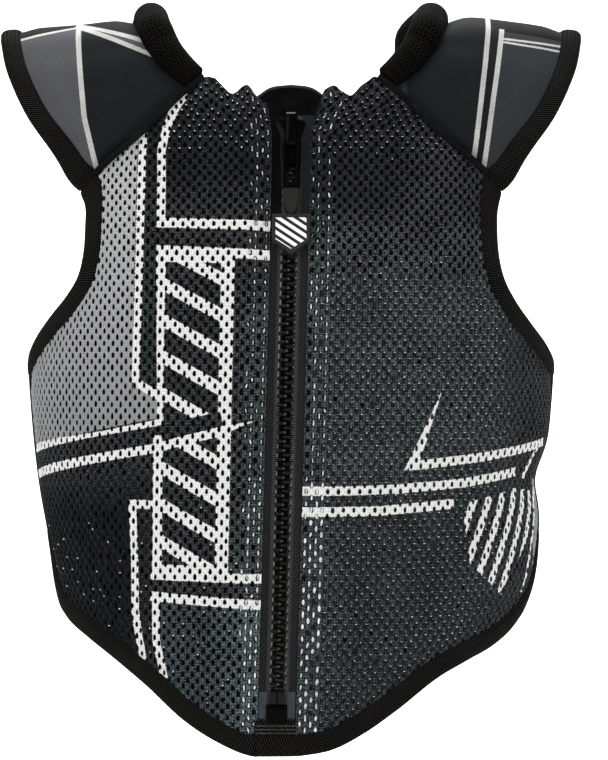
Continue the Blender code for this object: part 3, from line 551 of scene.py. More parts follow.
    def armhole_band(self, side: int) -> Array:
        """Rows from the side up to the seam.

        Args:
            side: -1 for the wearer's right, 1 for the left.

        Returns:
            Rows of three places: the vest's edge, its binding's inside and the panel's edge.
        """
        end, back = self.seam_end()
        corner = end - (0, self.meet / abs(back[0]))
        knots = np.vstack([self.quarter(self.armhole_edge, 2 if side > 0 else 1, self.underarm), corner])
        widths = (0, self.binding, self.binding - self.tuck)
        rows = band(curve(knots, 300, self.flat), widths, start=(0, -1), end=back * self.end_stretch)
        limit = QUARTER - self.side_gap(-self.tuck)
        first = int(np.argmax(rows[:, 2, 0] <= limit))
        inner = even_rows(rows, 2, self.counts[3], first, scale=self.flat)
        inner[0, 2, 0] = limit
        return np.concatenate([rows[:1], inner])

    def hem_band(self, side: int) -> tuple[Array, int]:
        """Rows along the lower edge to the side, like the armhole's.

        Args:
            side: -1 for the wearer's right, 1 for the left, 0 for the back's half.

        Returns:
            The rows, and how many of them lie ahead of the panel.
        """
        knots = self.quarter(self.hem_edge, {-1: 1, 1: 2, 0: 3}[side], TRUNK.hem)
        split = self.zip_x(-TRUNK.hem) - self.opening
        wide = float(TRUNK.section(-TRUNK.hem)[0])
        start = 0.0 if side == 0 else math.asin((side * split + self.gap / 2) / wide)
        turn = np.linspace(start, QUARTER, 600)
        line = np.column_stack([turn, hermite(knots[:, 0], knots[:, 1], turn)])
        widths = (0, self.binding, self.binding - self.tuck)
        rows = band(line, widths, start=(0, 1), end=(0, 1))
        limit = QUARTER - self.side_gap(-self.tuck)
        last = len(rows) - 1 - int(np.argmax(rows[::-1, 2, 0] <= limit))
        opening = 0.0 if side == 0 else self.zip_edge(rows[0, 2, 1], side)
        first = int(np.argmax(rows[:, 2, 0] >= opening))
        inner = even_rows(rows, 2, self.counts[0] + self.counts[1] - 1, first, last, self.flat)
        if side != 0:
            inner[0, 2, 0] = self.zip_edge(inner[0, 2, 1], side)
        inner[-1, 2, 0] = limit
        rows[-1, :, 0] -= self.gap / 2 / TRUNK.front
        ahead = rows[:1] if first > 5 else rows[:0]
        return np.concatenate([ahead, inner, rows[-1:]]), len(ahead)

    def outer_edge(self, low: Array, arm: Array) -> Array:
        """A panel's outer edge: up the side seam, then round the armhole."""
        side = np.linspace(low, arm[1, 2], self.counts[2])
        return np.concatenate([side[:-1], arm[1:, 2]])

    def top_edge(self, neck: Array, corner: Array) -> Array:
        """A panel's top edge: the neckline, then the seam as far as the armhole's corner.

        Args:
            neck: places along the neckline.
            corner: where the armhole meets the seam.

        Returns:
            The places along the edge.
        """
        seam = self.seam_rows(-self.meet)
        stop = int(np.argmin(np.linalg.norm((seam - corner) * self.flat, axis=1)))
        seam[stop] = corner
        start = int(np.argmin(np.linalg.norm((seam - neck[-1]) * self.flat, axis=1)))
        seam_part = even(seam[start:stop + 1], self.counts[1], self.flat)
        return np.concatenate([even(neck, self.counts[0], self.flat), seam_part[1:]])

    def front(self, side: int) -> Array:
        """A front panel's grid of places.

        Args:
            side: -1 for the wearer's right, 1 for the left.

        Returns:
            The places, from the zip to the side and from the hem up.
        """
        arm = self.armhole_band(side)
        hem, ahead = self.hem_band(side)
        bottom = hem[ahead:-1, 2]
        neck = self.quarter(self.neck_edge, 2 if side > 0 else 1, self.seam)
        neck[0, 0] = self.zip_edge(neck[0, 1], side)
        top = self.top_edge(curve(neck, 120, self.flat), arm[-1, 2])
        outer = self.outer_edge(bottom[-1], arm)
        z = np.linspace(bottom[0, 1], top[0, 1], len(outer))
        return patch(bottom, top, np.column_stack([self.zip_edge(z, side), z]), outer)

    def back(self) -> Array:
        """The back panel's grid of places.

        Returns:
            The places, as turns from the front round the wearer's left, and from the hem up.
        """
        hem, _ = self.hem_band(0)
        bottom = hem[:-1, 2]
        neck = curve(self.quarter(self.back_neck, 1, self.seam), 120, self.flat)
        left, right = self.armhole_band(1), self.armhole_band(-1)
        top_left, top_right = self.top_edge(neck, left[-1, 2]), self.top_edge(neck, right[-1, 2])
        return patch(
            np.concatenate([to_back(bottom)[::-1], bottom[1:] + (math.pi, 0)]),
            np.concatenate([to_back(top_left)[::-1], top_right[1:] + (math.pi, 0)]),
            to_back(self.outer_edge(bottom[-1], left)),
            self.outer_edge(bottom[-1], right) + (math.pi, 0),
        )

    def over_shoulder(self, table: Sequence[Sequence[float]], back_depth: float) -> Array:
        """A table's line from the front seam to the ridge, carried on down the back as its mirror.

        Args:
            table: rows that begin with shares of the span, the strap's half depth and the seam's drop.
            back_depth: the strap's half depth behind the ridge.

        Returns:
            A row in metres for each of the table's, and for its mirror.
        """
        front = np.array(table, float)
        front[:, :3] *= (self.span, self.strap_depth, self.seam)
        back = front[-2::-1].copy()
        back[:, 1] *= -back_depth / self.strap_depth
        return np.concatenate([front, back])

    def strap(self, side: int, count: int) -> Array:
        """Rows over the shoulder, from the front seam to the back's.

        Args:
            side: -1 for the wearer's right, 1 for the left.
            count: how many rows are wanted.

        Returns:
            Rows of six points: the edge, the binding's inside, the strap's outer and inner edges, the
            roll's middle, and the roll's radius in the last one's place.
        """
        end, back = self.seam_end()
        corner = end + (0, self.meet / abs(back[0]))
        ends = np.array([corner, to_back(corner)])
        back_depth = float(TRUNK.section(self.roll_line[0][2] * self.seam)[2]) * self.roll_back
        table = self.over_shoulder(self.strap_edge, back_depth)
        edge = curve(np.concatenate([TRUNK.point(ends[:1]), table, TRUNK.point(ends[1:])]), 300)
        roll = curve(self.over_shoulder(self.roll_line, back_depth), 300)
        roll, radius = roll[:, :3], roll[:, 3:] * self.roll_radius
        behind = np.clip(roll[:, 1] / back_depth, 0, 1)
        roll[:, 0] -= side * self.roll_twist * np.sin(math.pi * behind) ** 2
        way = edge - roll
        way /= np.linalg.norm(way, axis=1)[:, None]
        share = np.linspace(-1, 1, 300)[:, None]
        width = self.binding * (1 + (self.end_stretch - 1) * share**8)
        bound = edge - way * width
        inner = roll + way * (radius - self.tuck)
        rows = np.stack([edge, bound, bound + way * self.tuck, inner, roll, radius * (1, 1, 1)], axis=1)
        return even_rows(rows, 0, count)


CUT = Cut()


class Wrap:
    """Fabric coordinates on the trunk: s along the surface from a start line, t down the middle."""

    def __init__(self, start: Callable[[Array], Array], low: float, high: float, front: bool) -> None:
        """Tabulates the lengths along the surface, by the trapezium rule, and their inverse.

        Args:
            start: turn at which s is 0, for heights.
            low: least turn, measured from the start.
            high: greatest turn.
            front: whether turns are measured from the front's middle, or from the back's.
        """
        self.front = front
        self.z = np.arange(-0.374, 0.011, 0.002)
        self.share = np.linspace(0, 1, 240)
        self.low = start(self.z) + low
        self.high = np.full(len(self.z), high)
        turn = self.low[:, None] + (self.high - self.low)[:, None] * self.share
        height = np.broadcast_to(self.z[:, None], turn.shape)
        place = np.stack([turn if front else math.pi - turn, height], axis=-1)
        rate = TRUNK.metric(place)
        step = np.diff(turn, axis=1) * (rate[:, 1:] + rate[:, :-1]) / 2
        reach = np.concatenate([np.zeros((len(turn), 1)), np.cumsum(step, axis=1)], axis=1)
        zero = [np.interp(a, t, r) for a, t, r in zip(start(self.z), turn, reach)]
        self.reach = reach - np.array(zero)[:, None]
        self.s = np.arange(self.reach.min() - 0.002, self.reach.max() + 0.004, 0.002)
        self.turn = np.array([np.interp(self.s, r, t) for r, t in zip(self.reach, turn)])
        depth = TRUNK.section(self.z)[:, 1 if front else 2]
        run = lengths(np.column_stack([self.z, depth]))
        self.t = np.interp(0.0, self.z, run) - run

    def corners(self, shape: "Zone") -> "Zone":
        """Corners of s and drop below the shoulder line, in millimetres, as fabric coordinates."""
        return [(s, 1000 * float(np.interp(-drop / 1000, self.z, self.t))) for s, drop in shape]

    def _rows(self, z: Array) -> tuple[Array, Array]:
        """The row under each height and the share of the way to the next one.

        Args:
            z: heights in metres.

        Returns:
            The rows, and the shares.
        """
        at = np.clip((z - self.z[0]) / (self.z[1] - self.z[0]), 0, len(self.z) - 1.001)
        return at.astype(int), at - at.astype(int)

    def places(self, cloth: Array) -> Array:
        """Turns and heights of fabric coordinates, bilinear in the table.

        Args:
            cloth: fabric coordinates in metres.

        Returns:
            A turn and a height for each.
        """
        z = np.interp(-cloth[..., 1], -self.t, self.z)
        row, part = self._rows(z)
        at = np.clip((cloth[..., 0] - self.s[0]) / (self.s[1] - self.s[0]), 0, len(self.s) - 1.001)
        column = at.astype(int)
        along = at - column
        above, below = ((1 - along) * self.turn[r, column] + along * self.turn[r, column + 1]
                        for r in (row, row + 1))
        turn = (1 - part) * above + part * below
        return np.stack([turn if self.front else math.pi - turn, z], axis=-1)

    def cloth(self, place: Array) -> Array:
        """Fabric coordinates of turns and heights.

        Args:
            place: turns and heights.

        Returns:
            The coordinates in metres.
        """
        turn, z = place[..., 0], place[..., 1]
        turn = turn if self.front else math.pi - turn
        row, part = self._rows(z)
        read = []
        for r in (row, row + 1):
            share = (turn - self.low[r]) / (self.high[r] - self.low[r])
            at = np.clip(share, 0, 0.9999) * (len(self.share) - 1)
            column = at.astype(int)
            along = at - column
            read.append((1 - along) * self.reach[r, column] + along * self.reach[r, column + 1])
        return np.stack([(1 - part) * read[0] + part * read[1], np.interp(z, self.z, self.t)], axis=-1)


def outline(grid: Array) -> Array:
    """The closed outline of a grid of places."""
    return np.concatenate([grid[:, 0], grid[-1, 1:], grid[-2::-1, -1], grid[0, -2:0:-1]])


# ---- shader maths


class Wave:
    """A number's socket in a material's nodes; arithmetic on it adds Math nodes."""

    def __init__(self, nodes: "Nodes", socket: bpy.types.NodeSocket) -> None:
        """Keeps the socket and the tree that it is in."""
        self.nodes = nodes
        self.socket = socket

    def math(self, operation: str, *others: "Wave | float", first: float | None = None) -> "Wave":
        """A Math node with this socket among its inputs."""
        values: list[Wave | float] = [self, *others] if first is None else [first, self]
        return self.nodes.add("ShaderNodeMath", {"operation": operation}, dict(enumerate(values)))

    def __add__(self, other: "Wave | float") -> "Wave":
        """Sum."""
        return self.math("ADD", other)

    __radd__ = __add__

    def __sub__(self, other: "Wave | float") -> "Wave":
        """Difference."""
        return self.math("SUBTRACT", other)

    def __rsub__(self, other: float) -> "Wave":
        """Difference from a number."""
        return self.math("SUBTRACT", first=other)

    def __mul__(self, other: "Wave | float") -> "Wave":
        """Product."""
        return self.math("MULTIPLY", other)

    __rmul__ = __mul__

    def __truediv__(self, other: "Wave | float") -> "Wave":
        """Quotient."""
        return self.math("DIVIDE", other)

    def least(self, other: "Wave | float") -> "Wave":
        """The smaller of two."""
        return self.math("MINIMUM", other)

    def most(self, other: "Wave | float") -> "Wave":
        """The larger of two."""
        return self.math("MAXIMUM", other)

    def sine(self) -> "Wave":
        """Sine."""
        return self.math("SINE")

    def swing(self) -> "Wave":
        """A sine that runs between 0 and 1."""
        return self.sine() * 0.5 + 0.5

    def size(self) -> "Wave":
        """Absolute value."""
        return self.math("ABSOLUTE")

    def part(self) -> "Wave":
        """Fraction above the whole number below."""
        return self.math("FRACT")

    def whole(self) -> "Wave":
        """The whole number below."""
        return self.math("FLOOR")

    def rise(self, low: float, high: float) -> "Wave":
        """0 below low, 1 above high, and smooth between them.

        Args:
            low: the value that gives 0.
            high: the value that gives 1.

        Returns:
            The number between 0 and 1.
        """
        settings = {"interpolation_type": "SMOOTHSTEP"}
        values = {"Value": self, "From Min": low, "From Max": high}
        return self.nodes.add("ShaderNodeMapRange", settings, values)


class Nodes:
    """One material and the nodes that dress it."""

    def __init__(self, name: str) -> None:
        """Starts a material with its Principled shader.

        Args:
            name: the material's name.
        """
        self.material = bpy.data.materials.new(name)
        self.material.use_nodes = True
        self.tree = self.material.node_tree
        self.shader = self.tree.nodes["Principled BSDF"]

    def add(self, kind: str, settings: dict | None = None, values: dict | None = None,
            out: int | str = 0) -> Wave:
        """Adds a node.

        Args:
            kind: the node's type.
            settings: its properties, set first.
            values: values or links of its input sockets, by name or number.
            out: the output that is wanted.

        Returns:
            The output's socket.
        """
        node = self.tree.nodes.new(kind)
        for key, value in (settings or {}).items():
            setattr(node, key, value)
        for key, value in (values or {}).items():
            self.feed(node.inputs[key], value)
        return Wave(self, node.outputs[out])

    def feed(self, socket: bpy.types.NodeSocket, value: object) -> None:
        """Links a socket to another, or sets its value.

        Args:
            socket: the input socket.
            value: a Wave to link, or a number, colour or text to set.
        """
        if isinstance(value, Wave):
            self.tree.links.new(value.socket, socket)
        elif isinstance(value, tuple) and len(value) == 3 and socket.type == "RGBA":
            socket.default_value = (*value, 1.0)
        else:
            socket.default_value = value

    def plane(self) -> tuple[Wave, Wave]:
        """The piece's UV map.

        Returns:
            Its two coordinates in metres.
        """
        place = self.add("ShaderNodeUVMap", {"uv_map": "cloth"})
        split = self.add("ShaderNodeSeparateXYZ", None, {0: place})
        return split, Wave(self, split.socket.node.outputs[1])

    def space(self) -> Wave:
        """The piece's own coordinates."""
        return self.add("ShaderNodeTexCoord", out="Object")

    def vector(self, x: Wave | float, y: Wave | float, z: Wave | float = 0.0) -> Wave:
        """Three numbers as a vector."""
        return self.add("ShaderNodeCombineXYZ", None, {0: x, 1: y, 2: z})

    def noise(self, at: Wave, size: float, detail: float = 2.0, rough: float = 0.5) -> Wave:
        """Cloudy noise whose grains have about the given size."""
        values = {"Vector": at, "Scale": 1 / size, "Detail": detail, "Roughness": rough}
        return self.add("ShaderNodeTexNoise", None, values)

    def axes(self) -> tuple[Wave, Wave, Wave]:
        """The three of the piece's own coordinates."""
        split = self.add("ShaderNodeSeparateXYZ", None, {0: self.space()})
        return split, *(Wave(self, split.socket.node.outputs[k]) for k in (1, 2))

    def mix(self, share: Wave | float, first: object, second: object, blend: str = "MIX") -> Wave:
        """A colour between two, or their blend.

        Args:
            share: how far the mix lies towards the second colour.
            first: the first colour.
            second: the second one.
            blend: the blend's type.

        Returns:
            The colour.
        """
        node = self.tree.nodes.new("ShaderNodeMix")
        node.data_type, node.blend_type = "RGBA", blend
        for place, value in ((0, share), (6, first), (7, second)):
            self.feed(node.inputs[place], value)
        return Wave(self, node.outputs[2])

    def bump(self, height: Wave, distance: float, strength: float = 1.0) -> Wave:
        """A normal from heights."""
        values = {"Height": height, "Distance": distance, "Strength": strength}
        return self.add("ShaderNodeBump", None, values)

    def finish(self, **sockets: object) -> bpy.types.Material:
        """Dresses the shader.

        Args:
            **sockets: values or links of its sockets, named with underscores for spaces.

        Returns:
            The material.
        """
        for name, value in sockets.items():
            self.feed(self.shader.inputs[name.replace("_", " ")], value)
        return self.material


def zone(s: Wave, t: Wave, corners: Zone) -> Wave:
    """How far a place lies inside a convex shape.

    Formula: the least of the distances to the straight lines through its sides.

    Args:
        s: the first coordinate in millimetres.
        t: the second one.
        corners: the shape's corners in millimetres.

    Returns:
        The distance in millimetres, negative outside.
    """
    points = np.array(corners, float)
    after = np.roll(points, -1, axis=0)
    area = (points[:, 0] * after[:, 1] - after[:, 0] * points[:, 1]).sum()
    found: Wave | None = None
    for start, end in zip(points, after):
        way = (end - start) / np.linalg.norm(end - start) * math.copysign(1, area)
        reach = t * float(way[0]) - s * float(way[1]) + float(way[1] * start[0] - way[0] * start[1])
        found = reach if found is None else found.least(reach)
    return found


def union(s: Wave, t: Wave, shapes: Sequence[Zone]) -> Wave:
    """How far a place lies inside any of several shapes.

    Args:
        s: the first coordinate in millimetres.
        t: the second one.
        shapes: convex shapes in millimetres.

    Returns:
        The distance in millimetres, negative outside.
    """
    found: Wave | None = None
    for shape in shapes:
        reach = zone(s, t, shape)
        found = reach if found is None else found.most(reach)
    return found


def stripes(width: float, *line: tuple[float, float]) -> tuple[Zone, ...]:
    """The shapes of a stripe along a line.

    Args:
        width: the stripe's width.
        *line: places along its middle, in the same unit.

    Returns:
        The corners of one shape for each straight piece.
    """
    shapes = []
    for start, end in zip(np.array(line[:-1], float), np.array(line[1:], float)):
        way = (end - start) / np.linalg.norm(end - start) * width / 2
        over = np.array([-way[1], way[0]])
        shapes.append([tuple(map(float, p)) for p in (start + over, start - over, end - over, end + over)])
    return tuple(shapes)


# ---- making pieces


def shaded(name: str, mesh: bpy.types.Mesh, sharp: float | None) -> bpy.types.Object:
    """A smooth-shaded object in the scene.

    Args:
        name: its name.
        mesh: its mesh.
        sharp: angle in degrees above which an edge stays sharp.

    Returns:
        The object.
    """
    mesh.shade_smooth()
    if sharp is not None:
        mesh.set_sharp_from_angle(angle=math.radians(sharp))
    made = bpy.data.objects.new(name, mesh)
    bpy.context.scene.collection.objects.link(made)
    return made


def make_mesh(name: str, points: Array, faces: Sequence[Array], cloth: Array | None = None,
              sharp: float | None = None, sunk: Array | None = None) -> bpy.types.Object:
    """A mesh object from whole arrays.

    Args:
        name: the piece's name.
        points: n points in metres.
        faces: arrays of faces, each with its own number of corners.
        cloth: fabric coordinates for each point.
        sharp: angle in degrees above which an edge stays sharp.
        sunk: 0 to 1 for each point, read by the material as its depth in a hole.

    Returns:
        The object.
    """
    mesh = bpy.data.meshes.new(name)
    sizes = np.concatenate([np.full(len(part), part.shape[1]) for part in faces])
    loops = np.concatenate([part.ravel() for part in faces]).astype(np.int32)
    mesh.vertices.add(len(points))
    mesh.vertices.foreach_set("co", points.astype(np.float32).ravel())
    mesh.loops.add(len(loops))
    mesh.loops.foreach_set("vertex_index", loops)
    mesh.polygons.add(len(sizes))
    mesh.polygons.foreach_set("loop_start", np.r_[0, np.cumsum(sizes)[:-1]].astype(np.int32))
    mesh.update(calc_edges=True)
    mesh.validate()
    if cloth is not None:
        layer = mesh.uv_layers.new(name="cloth")
        corner = np.empty(len(mesh.loops), np.int32)
        mesh.loops.foreach_get("vertex_index", corner)
        layer.data.foreach_set("uv", cloth[corner].astype(np.float32).ravel())
    if sunk is not None:
        mesh.attributes.new("sunk", "FLOAT", "POINT").data.foreach_set("value", sunk.astype(np.float32))
    return shaded(name, mesh, sharp)


def facing(points: Array, faces: Array, normal: Array) -> Array:
    """Faces turned so that they look along the normals of their first points.

    Args:
        points: n points in metres.
        faces: faces that all turn the same way.
        normal: the n points' normals.

    Returns:
        The faces, turned over where needed.
    """
    first, second, third = (points[faces[:, k]] for k in range(3))
    ahead = (np.cross(second - first, third - first) * normal[faces[:, 0]]).sum() >= 0
    return faces if ahead else faces[:, ::-1]


def outwards(piece: bpy.types.Object, weld: float = 0.0) -> bpy.types.Object:
    """Turns the faces of a closed mesh outwards.

    Args:
        piece: the mesh object.
        weld: points nearer to each other than this become one.

    Returns:
        The same object.
    """
    work = bmesh.new()
    work.from_mesh(piece.data)
    if weld:
        bmesh.ops.remove_doubles(work, verts=work.verts, dist=weld)
    bmesh.ops.recalc_face_normals(work, faces=work.faces)
    work.to_mesh(piece.data)
    work.free()
    return piece


def wall(name: str, outer: Array, inner: Array, cloth: Array, sharp: float) -> bpy.types.Object:
    """A closed wall between two grids of points.

    Args:
        name: the piece's name.
        outer: the outer grid.
        inner: the inner one, of the same size.
        cloth: fabric coordinates of each grid's points.
        sharp: angle in degrees above which an edge stays sharp.

    Returns:
        The object.
    """
    points = np.concatenate([outer.reshape(-1, 3), inner.reshape(-1, 3)])
    flat = cloth.reshape(-1, 2)
    faces = [slab_faces(*outer.shape[:2])]
    return outwards(make_mesh(name, points, faces, np.concatenate([flat, flat]), sharp=sharp))


def place_piece(piece: bpy.types.Object, finish: bpy.types.Material, body: str = "vest",
                stands_for: Sequence[str] = ()) -> bpy.types.Object:
    """Dresses a piece, ties it to its body and hides the CAD nodes that it stands for.

    Args:
        piece: the mesh object.
        finish: its material.
        body: the body that it rides on.
        stands_for: CAD nodes that it replaces.

    Returns:
        The same object.
    """
    piece.data.materials.clear()
    piece.data.materials.append(finish)
    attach(piece, body)
    if stands_for:
        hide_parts(*stands_for)
    LOG.info("%s: %d faces", piece.name, len(piece.data.polygons))
    return piece


def node_points(node: str) -> Array:
    """The points of a CAD node.

    Args:
        node: its name.

    Returns:
        The points in metres.
    """
    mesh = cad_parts[node].data
    points = np.empty(len(mesh.vertices) * 3)
    mesh.vertices.foreach_get("co", points)
    return points.reshape(-1, 3)


def rounded_copy(node: str, name: str, width: float) -> bpy.types.Object:
    """A copy of a hard CAD node with its edges rounded.

    Formula: doubled points are joined, flat faces merged, and edges that bend by more than 25 degrees are
    rounded in two steps.

    Args:
        node: the node.
        name: the new piece's name.
        width: width of the rounding in metres.

    Returns:
        The new piece.
    """
    work = bmesh.new()
    work.from_mesh(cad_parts[node].data)
    bmesh.ops.remove_doubles(work, verts=work.verts, dist=1e-5)
    bmesh.ops.dissolve_limit(work, angle_limit=math.radians(1.0), verts=work.verts,
                             edges=work.edges)
    edges = [e for e in work.edges if e.is_manifold and e.calc_face_angle(0.0) > math.radians(25)]
    bmesh.ops.bevel(work, geom=edges, offset=width, segments=2, profile=0.5, affect="EDGES",
                    clamp_overlap=True)
    bmesh.ops.recalc_face_normals(work, faces=work.faces)
    mesh = bpy.data.meshes.new(name)
    work.to_mesh(mesh)
    work.free()
    return shaded(name, mesh, 35)


# ---- finishes


class Tone(Enum):
    """Yarn colours of the print: shadow and light."""

    PALE = ((0.44, 0.43, 0.42), (0.78, 0.78, 0.76))
    SILVER = ((0.15, 0.16, 0.16), (0.50, 0.52, 0.515))
    SLATE = ((0.0030, 0.0050, 0.0062), (0.165, 0.205, 0.222))
    DEEP = ((0.0010, 0.0015, 0.0018), (0.116, 0.134, 0.140))


@dataclass(frozen=True)
class Hatch:
    """Slanting bars: angle of their normal in degrees, pitch and width in millimetres."""

    angle: float
    pitch: float
    width: float

    def reach(self, s: Wave, t: Wave) -> Wave:
        """How far a place lies inside the nearest bar, from the fraction of the pitch across the bars.

        Args:
            s: the first coordinate in millimetres.
            t: the second one.

        Returns:
            The distance in millimetres, negative outside.
        """
        turn = math.radians(self.angle)
        across = (s * math.cos(turn) + t * math.sin(turn)) / self.pitch
        return self.width / 2 - (across.part() - 0.5).size() * self.pitch


@dataclass(frozen=True)
class Print:
    """One layer of the print: a tone, shapes of s and drop in millimetres, and bars that fill them."""

    tone: Tone
    shapes: tuple[Zone, ...]
    hatch: Hatch | None = None


@dataclass(frozen=True)
class Spacer:
    """Polyester spacer mesh: dark yarn, with layers of paler print."""

    name: str
    layers: tuple[Print, ...] = ()
    # painted light and shade: shapes in millimetres where the yarn is painted paler or darker, and by which
    # share
    painted_light_and_shade: tuple[tuple[float, Zone], ...] = ()
    row: float = 0.00078
    wale: float = 0.00135
    # pitch, row and shift of the lattice of the holes, which the loops follow
    lattice: tuple[float, float, float] = (0.0054, 0.00312, 0.0)
    light: float = 0.62
    # near black painted on the holes' walls as painted shade
    hole: tuple[float, float, float] = (0.0006, 0.0008, 0.0009)
    # the silver print's tone low down, and between which heights of the cloth it comes in
    dim: tuple[float, float, float] = (0.16, 0.17, 0.175)
    dim_span: tuple[float, float] = (60.0, 225.0)

    def make(self, wrap: Wrap) -> bpy.types.Material:
        """Rows of short loops in its bump, layers with knitted edges in its colour, painted light and shade
        in patches, and holes whose walls are painted near black with depth as painted shade.

        Args:
            wrap: fabric coordinates of the panel.

        Returns:
            The material.
        """
        nodes = Nodes(self.name)
        s, t = nodes.plane()
        flat = nodes.vector(s, t)
        fuzz = (nodes.noise(flat, 0.0011, 2.0) - 0.5) * 1.3
        dashes = nodes.noise(nodes.vector(s * 0.5, t), 0.00080, 1.0, 0.6)
        grain = nodes.noise(flat, 0.00065, 1.0, 0.7)
        broad = nodes.noise(flat, 0.020, 2.0)
        yarn = (t * (TURN / self.row)).swing() * 0.65 + (s * (TURN / self.wale)).swing() * 0.35
        s_mm, t_mm = s * 1000.0, t * 1000.0
        pitch, row, shift = self.lattice
        around = (((s - shift) * (TURN / pitch) + QUARTER).sine()
                  * (t * (math.pi / row) + QUARTER).sine())
        light = dashes * 0.38 + grain * 0.30 + yarn * 0.17 + broad * 0.08 - around * 0.042
        # painted light and shade: the yarn's light is raised or lowered inside the given shapes
        level: Wave | float = 1.0
        for amount, shape in self.painted_light_and_shade:
            level = zone(s_mm, t_mm, wrap.corners(shape)).rise(-15.0, 15.0) * amount + level
        light = light.rise(0.415, 0.620) * level * self.light
        colour = nodes.mix(light, *Tone.DEEP.value)
        for layer in self.layers:
            reach = union(s_mm, t_mm, [wrap.corners(shape) for shape in layer.shapes])
            if layer.hatch is not None:
                reach = reach.least(layer.hatch.reach(s_mm, t_mm))
            dark = layer.tone in (Tone.DEEP, Tone.SLATE)
            ink = nodes.mix(light if dark else (yarn * 0.4 + grain * 0.8).rise(0.30, 0.78), *layer.tone.value)
            if layer.tone is Tone.SILVER:
                ink = nodes.mix(t_mm.rise(*self.dim_span) * 0.7, ink, self.dim)
            colour = nodes.mix((reach + fuzz).rise(-0.2, 0.2), colour, ink)
        # painted shade in the holes: their walls darken to near black with depth
        sunk = nodes.add("ShaderNodeAttribute", {"attribute_name": "sunk"}, out="Fac")
        colour = nodes.mix(sunk.rise(0.0, 0.14), colour, self.hole)
        return nodes.finish(Base_Color=colour, Roughness=0.82 - grain * 0.14, Specular_IOR_Level=0.06,
                            Normal=nodes.bump(yarn * 0.5 + dashes * 0.6, 0.00035, 0.9))


@dataclass(frozen=True)
class Webbing:
    """Black polyester webbing with ribs across and a fine twill."""

    # pitch of the ribs and of the lines across them, each along its way and aslant
    rib: tuple[float, float] = (0.00125, 0.0040)
    line: tuple[float, float] = (0.00150, 0.0034)
    # valley and crest colours of the ribs: painted shade and painted light on black webbing
    deep: tuple[float, float, float] = (0.0003, 0.0003, 0.0003)
    pale: tuple[float, float, float] = (0.036, 0.034, 0.031)

    def make(self) -> bpy.types.Material:
        """Ribs and twill, the ribs' crests painted paler as painted light and their valleys darker as painted
        shade; the UV map's first coordinate runs along the webbing.

        Returns:
            The material.
        """
        nodes = Nodes("ribbed_webbing")
        s, t = nodes.plane()
        flat = nodes.vector(s, t)
        grain = nodes.noise(flat, 0.0005, 2.0, 0.6)
        broad = nodes.noise(nodes.space(), 0.03, 2.0)
        ribs = (s * (TURN / self.rib[0]) + t * (TURN / self.rib[1])).swing()
        cross = (t * (TURN / self.line[0]) - s * (TURN / self.line[1])).swing()
        height = ribs * 0.45 + ribs * cross * 0.45 + grain * 0.5
        # painted light on the ribs' crests and painted shade in their valleys
        colour = nodes.mix((height + broad * 0.2).rise(0.72, 1.15), self.deep, self.pale)
        return nodes.finish(Base_Color=colour, Roughness=0.85, Specular_IOR_Level=0.03,
                            Normal=nodes.bump(height, 0.00045, 0.9))


@dataclass(frozen=True)
class Knit:
    """Smooth fine knit of the straps, in blocks of colour with pale stripes of x and z in millimetres."""

    name: str
    outer: tuple[float, float, float]
    inner: tuple[Zone, ...] = ()
    bare: tuple[Zone, ...] = ()
    pale: tuple[Zone, ...] = ()
    deep: tuple[float, float, float] = (0.0112, 0.0140, 0.0152)
    wale: float = 0.00085

    def make(self) -> bpy.types.Material:
        """Slanting fine wales, and blocks and stripes with slightly soft edges.

        Returns:
            The material.
        """
        nodes = Nodes(self.name)
        s, t = nodes.plane()
        flat = nodes.vector(s, t)
        grain = nodes.noise(flat, 0.00062, 1.0, 0.6)
        broad = nodes.noise(flat, 0.016, 2.0).rise(0.3, 0.7)
        wales = (s * (TURN / self.wale)).sine() * (t * (TURN / self.wale)).sine() * 0.5 + 0.5
        across, _, up = nodes.axes()
        fuzz = (grain - 0.5) * 0.5
        colour = nodes.mix(broad, self.outer, tuple(0.92 * c for c in self.outer))
        layers = (
            (self.inner, self.deep, tuple(1.12 * c for c in self.deep)),
            (self.bare, (0.0030, 0.0030, 0.0032), (0.0060, 0.0060, 0.0064)),
            (self.pale, (0.50, 0.485, 0.465), (0.62, 0.605, 0.58)),
        )
        for shapes, dark, light in layers:
            if shapes:
                mask = (union(across * 1000.0, up * 1000.0, shapes) + fuzz).rise(-0.12, 0.12)
                colour = nodes.mix(mask, colour, nodes.mix(broad, dark, light))
        share = (grain * 0.6 + wales * 0.4).rise(0.36, 0.64)
        weave = nodes.mix(share, (0.45, 0.45, 0.45), (1.0, 1.0, 1.0))
        return nodes.finish(Base_Color=nodes.mix(1.0, colour, weave, "MULTIPLY"), Roughness=0.80,
                            Specular_IOR_Level=0.05,
                            Normal=nodes.bump(wales * 0.6 + grain * 0.4, 0.00012, 0.8))


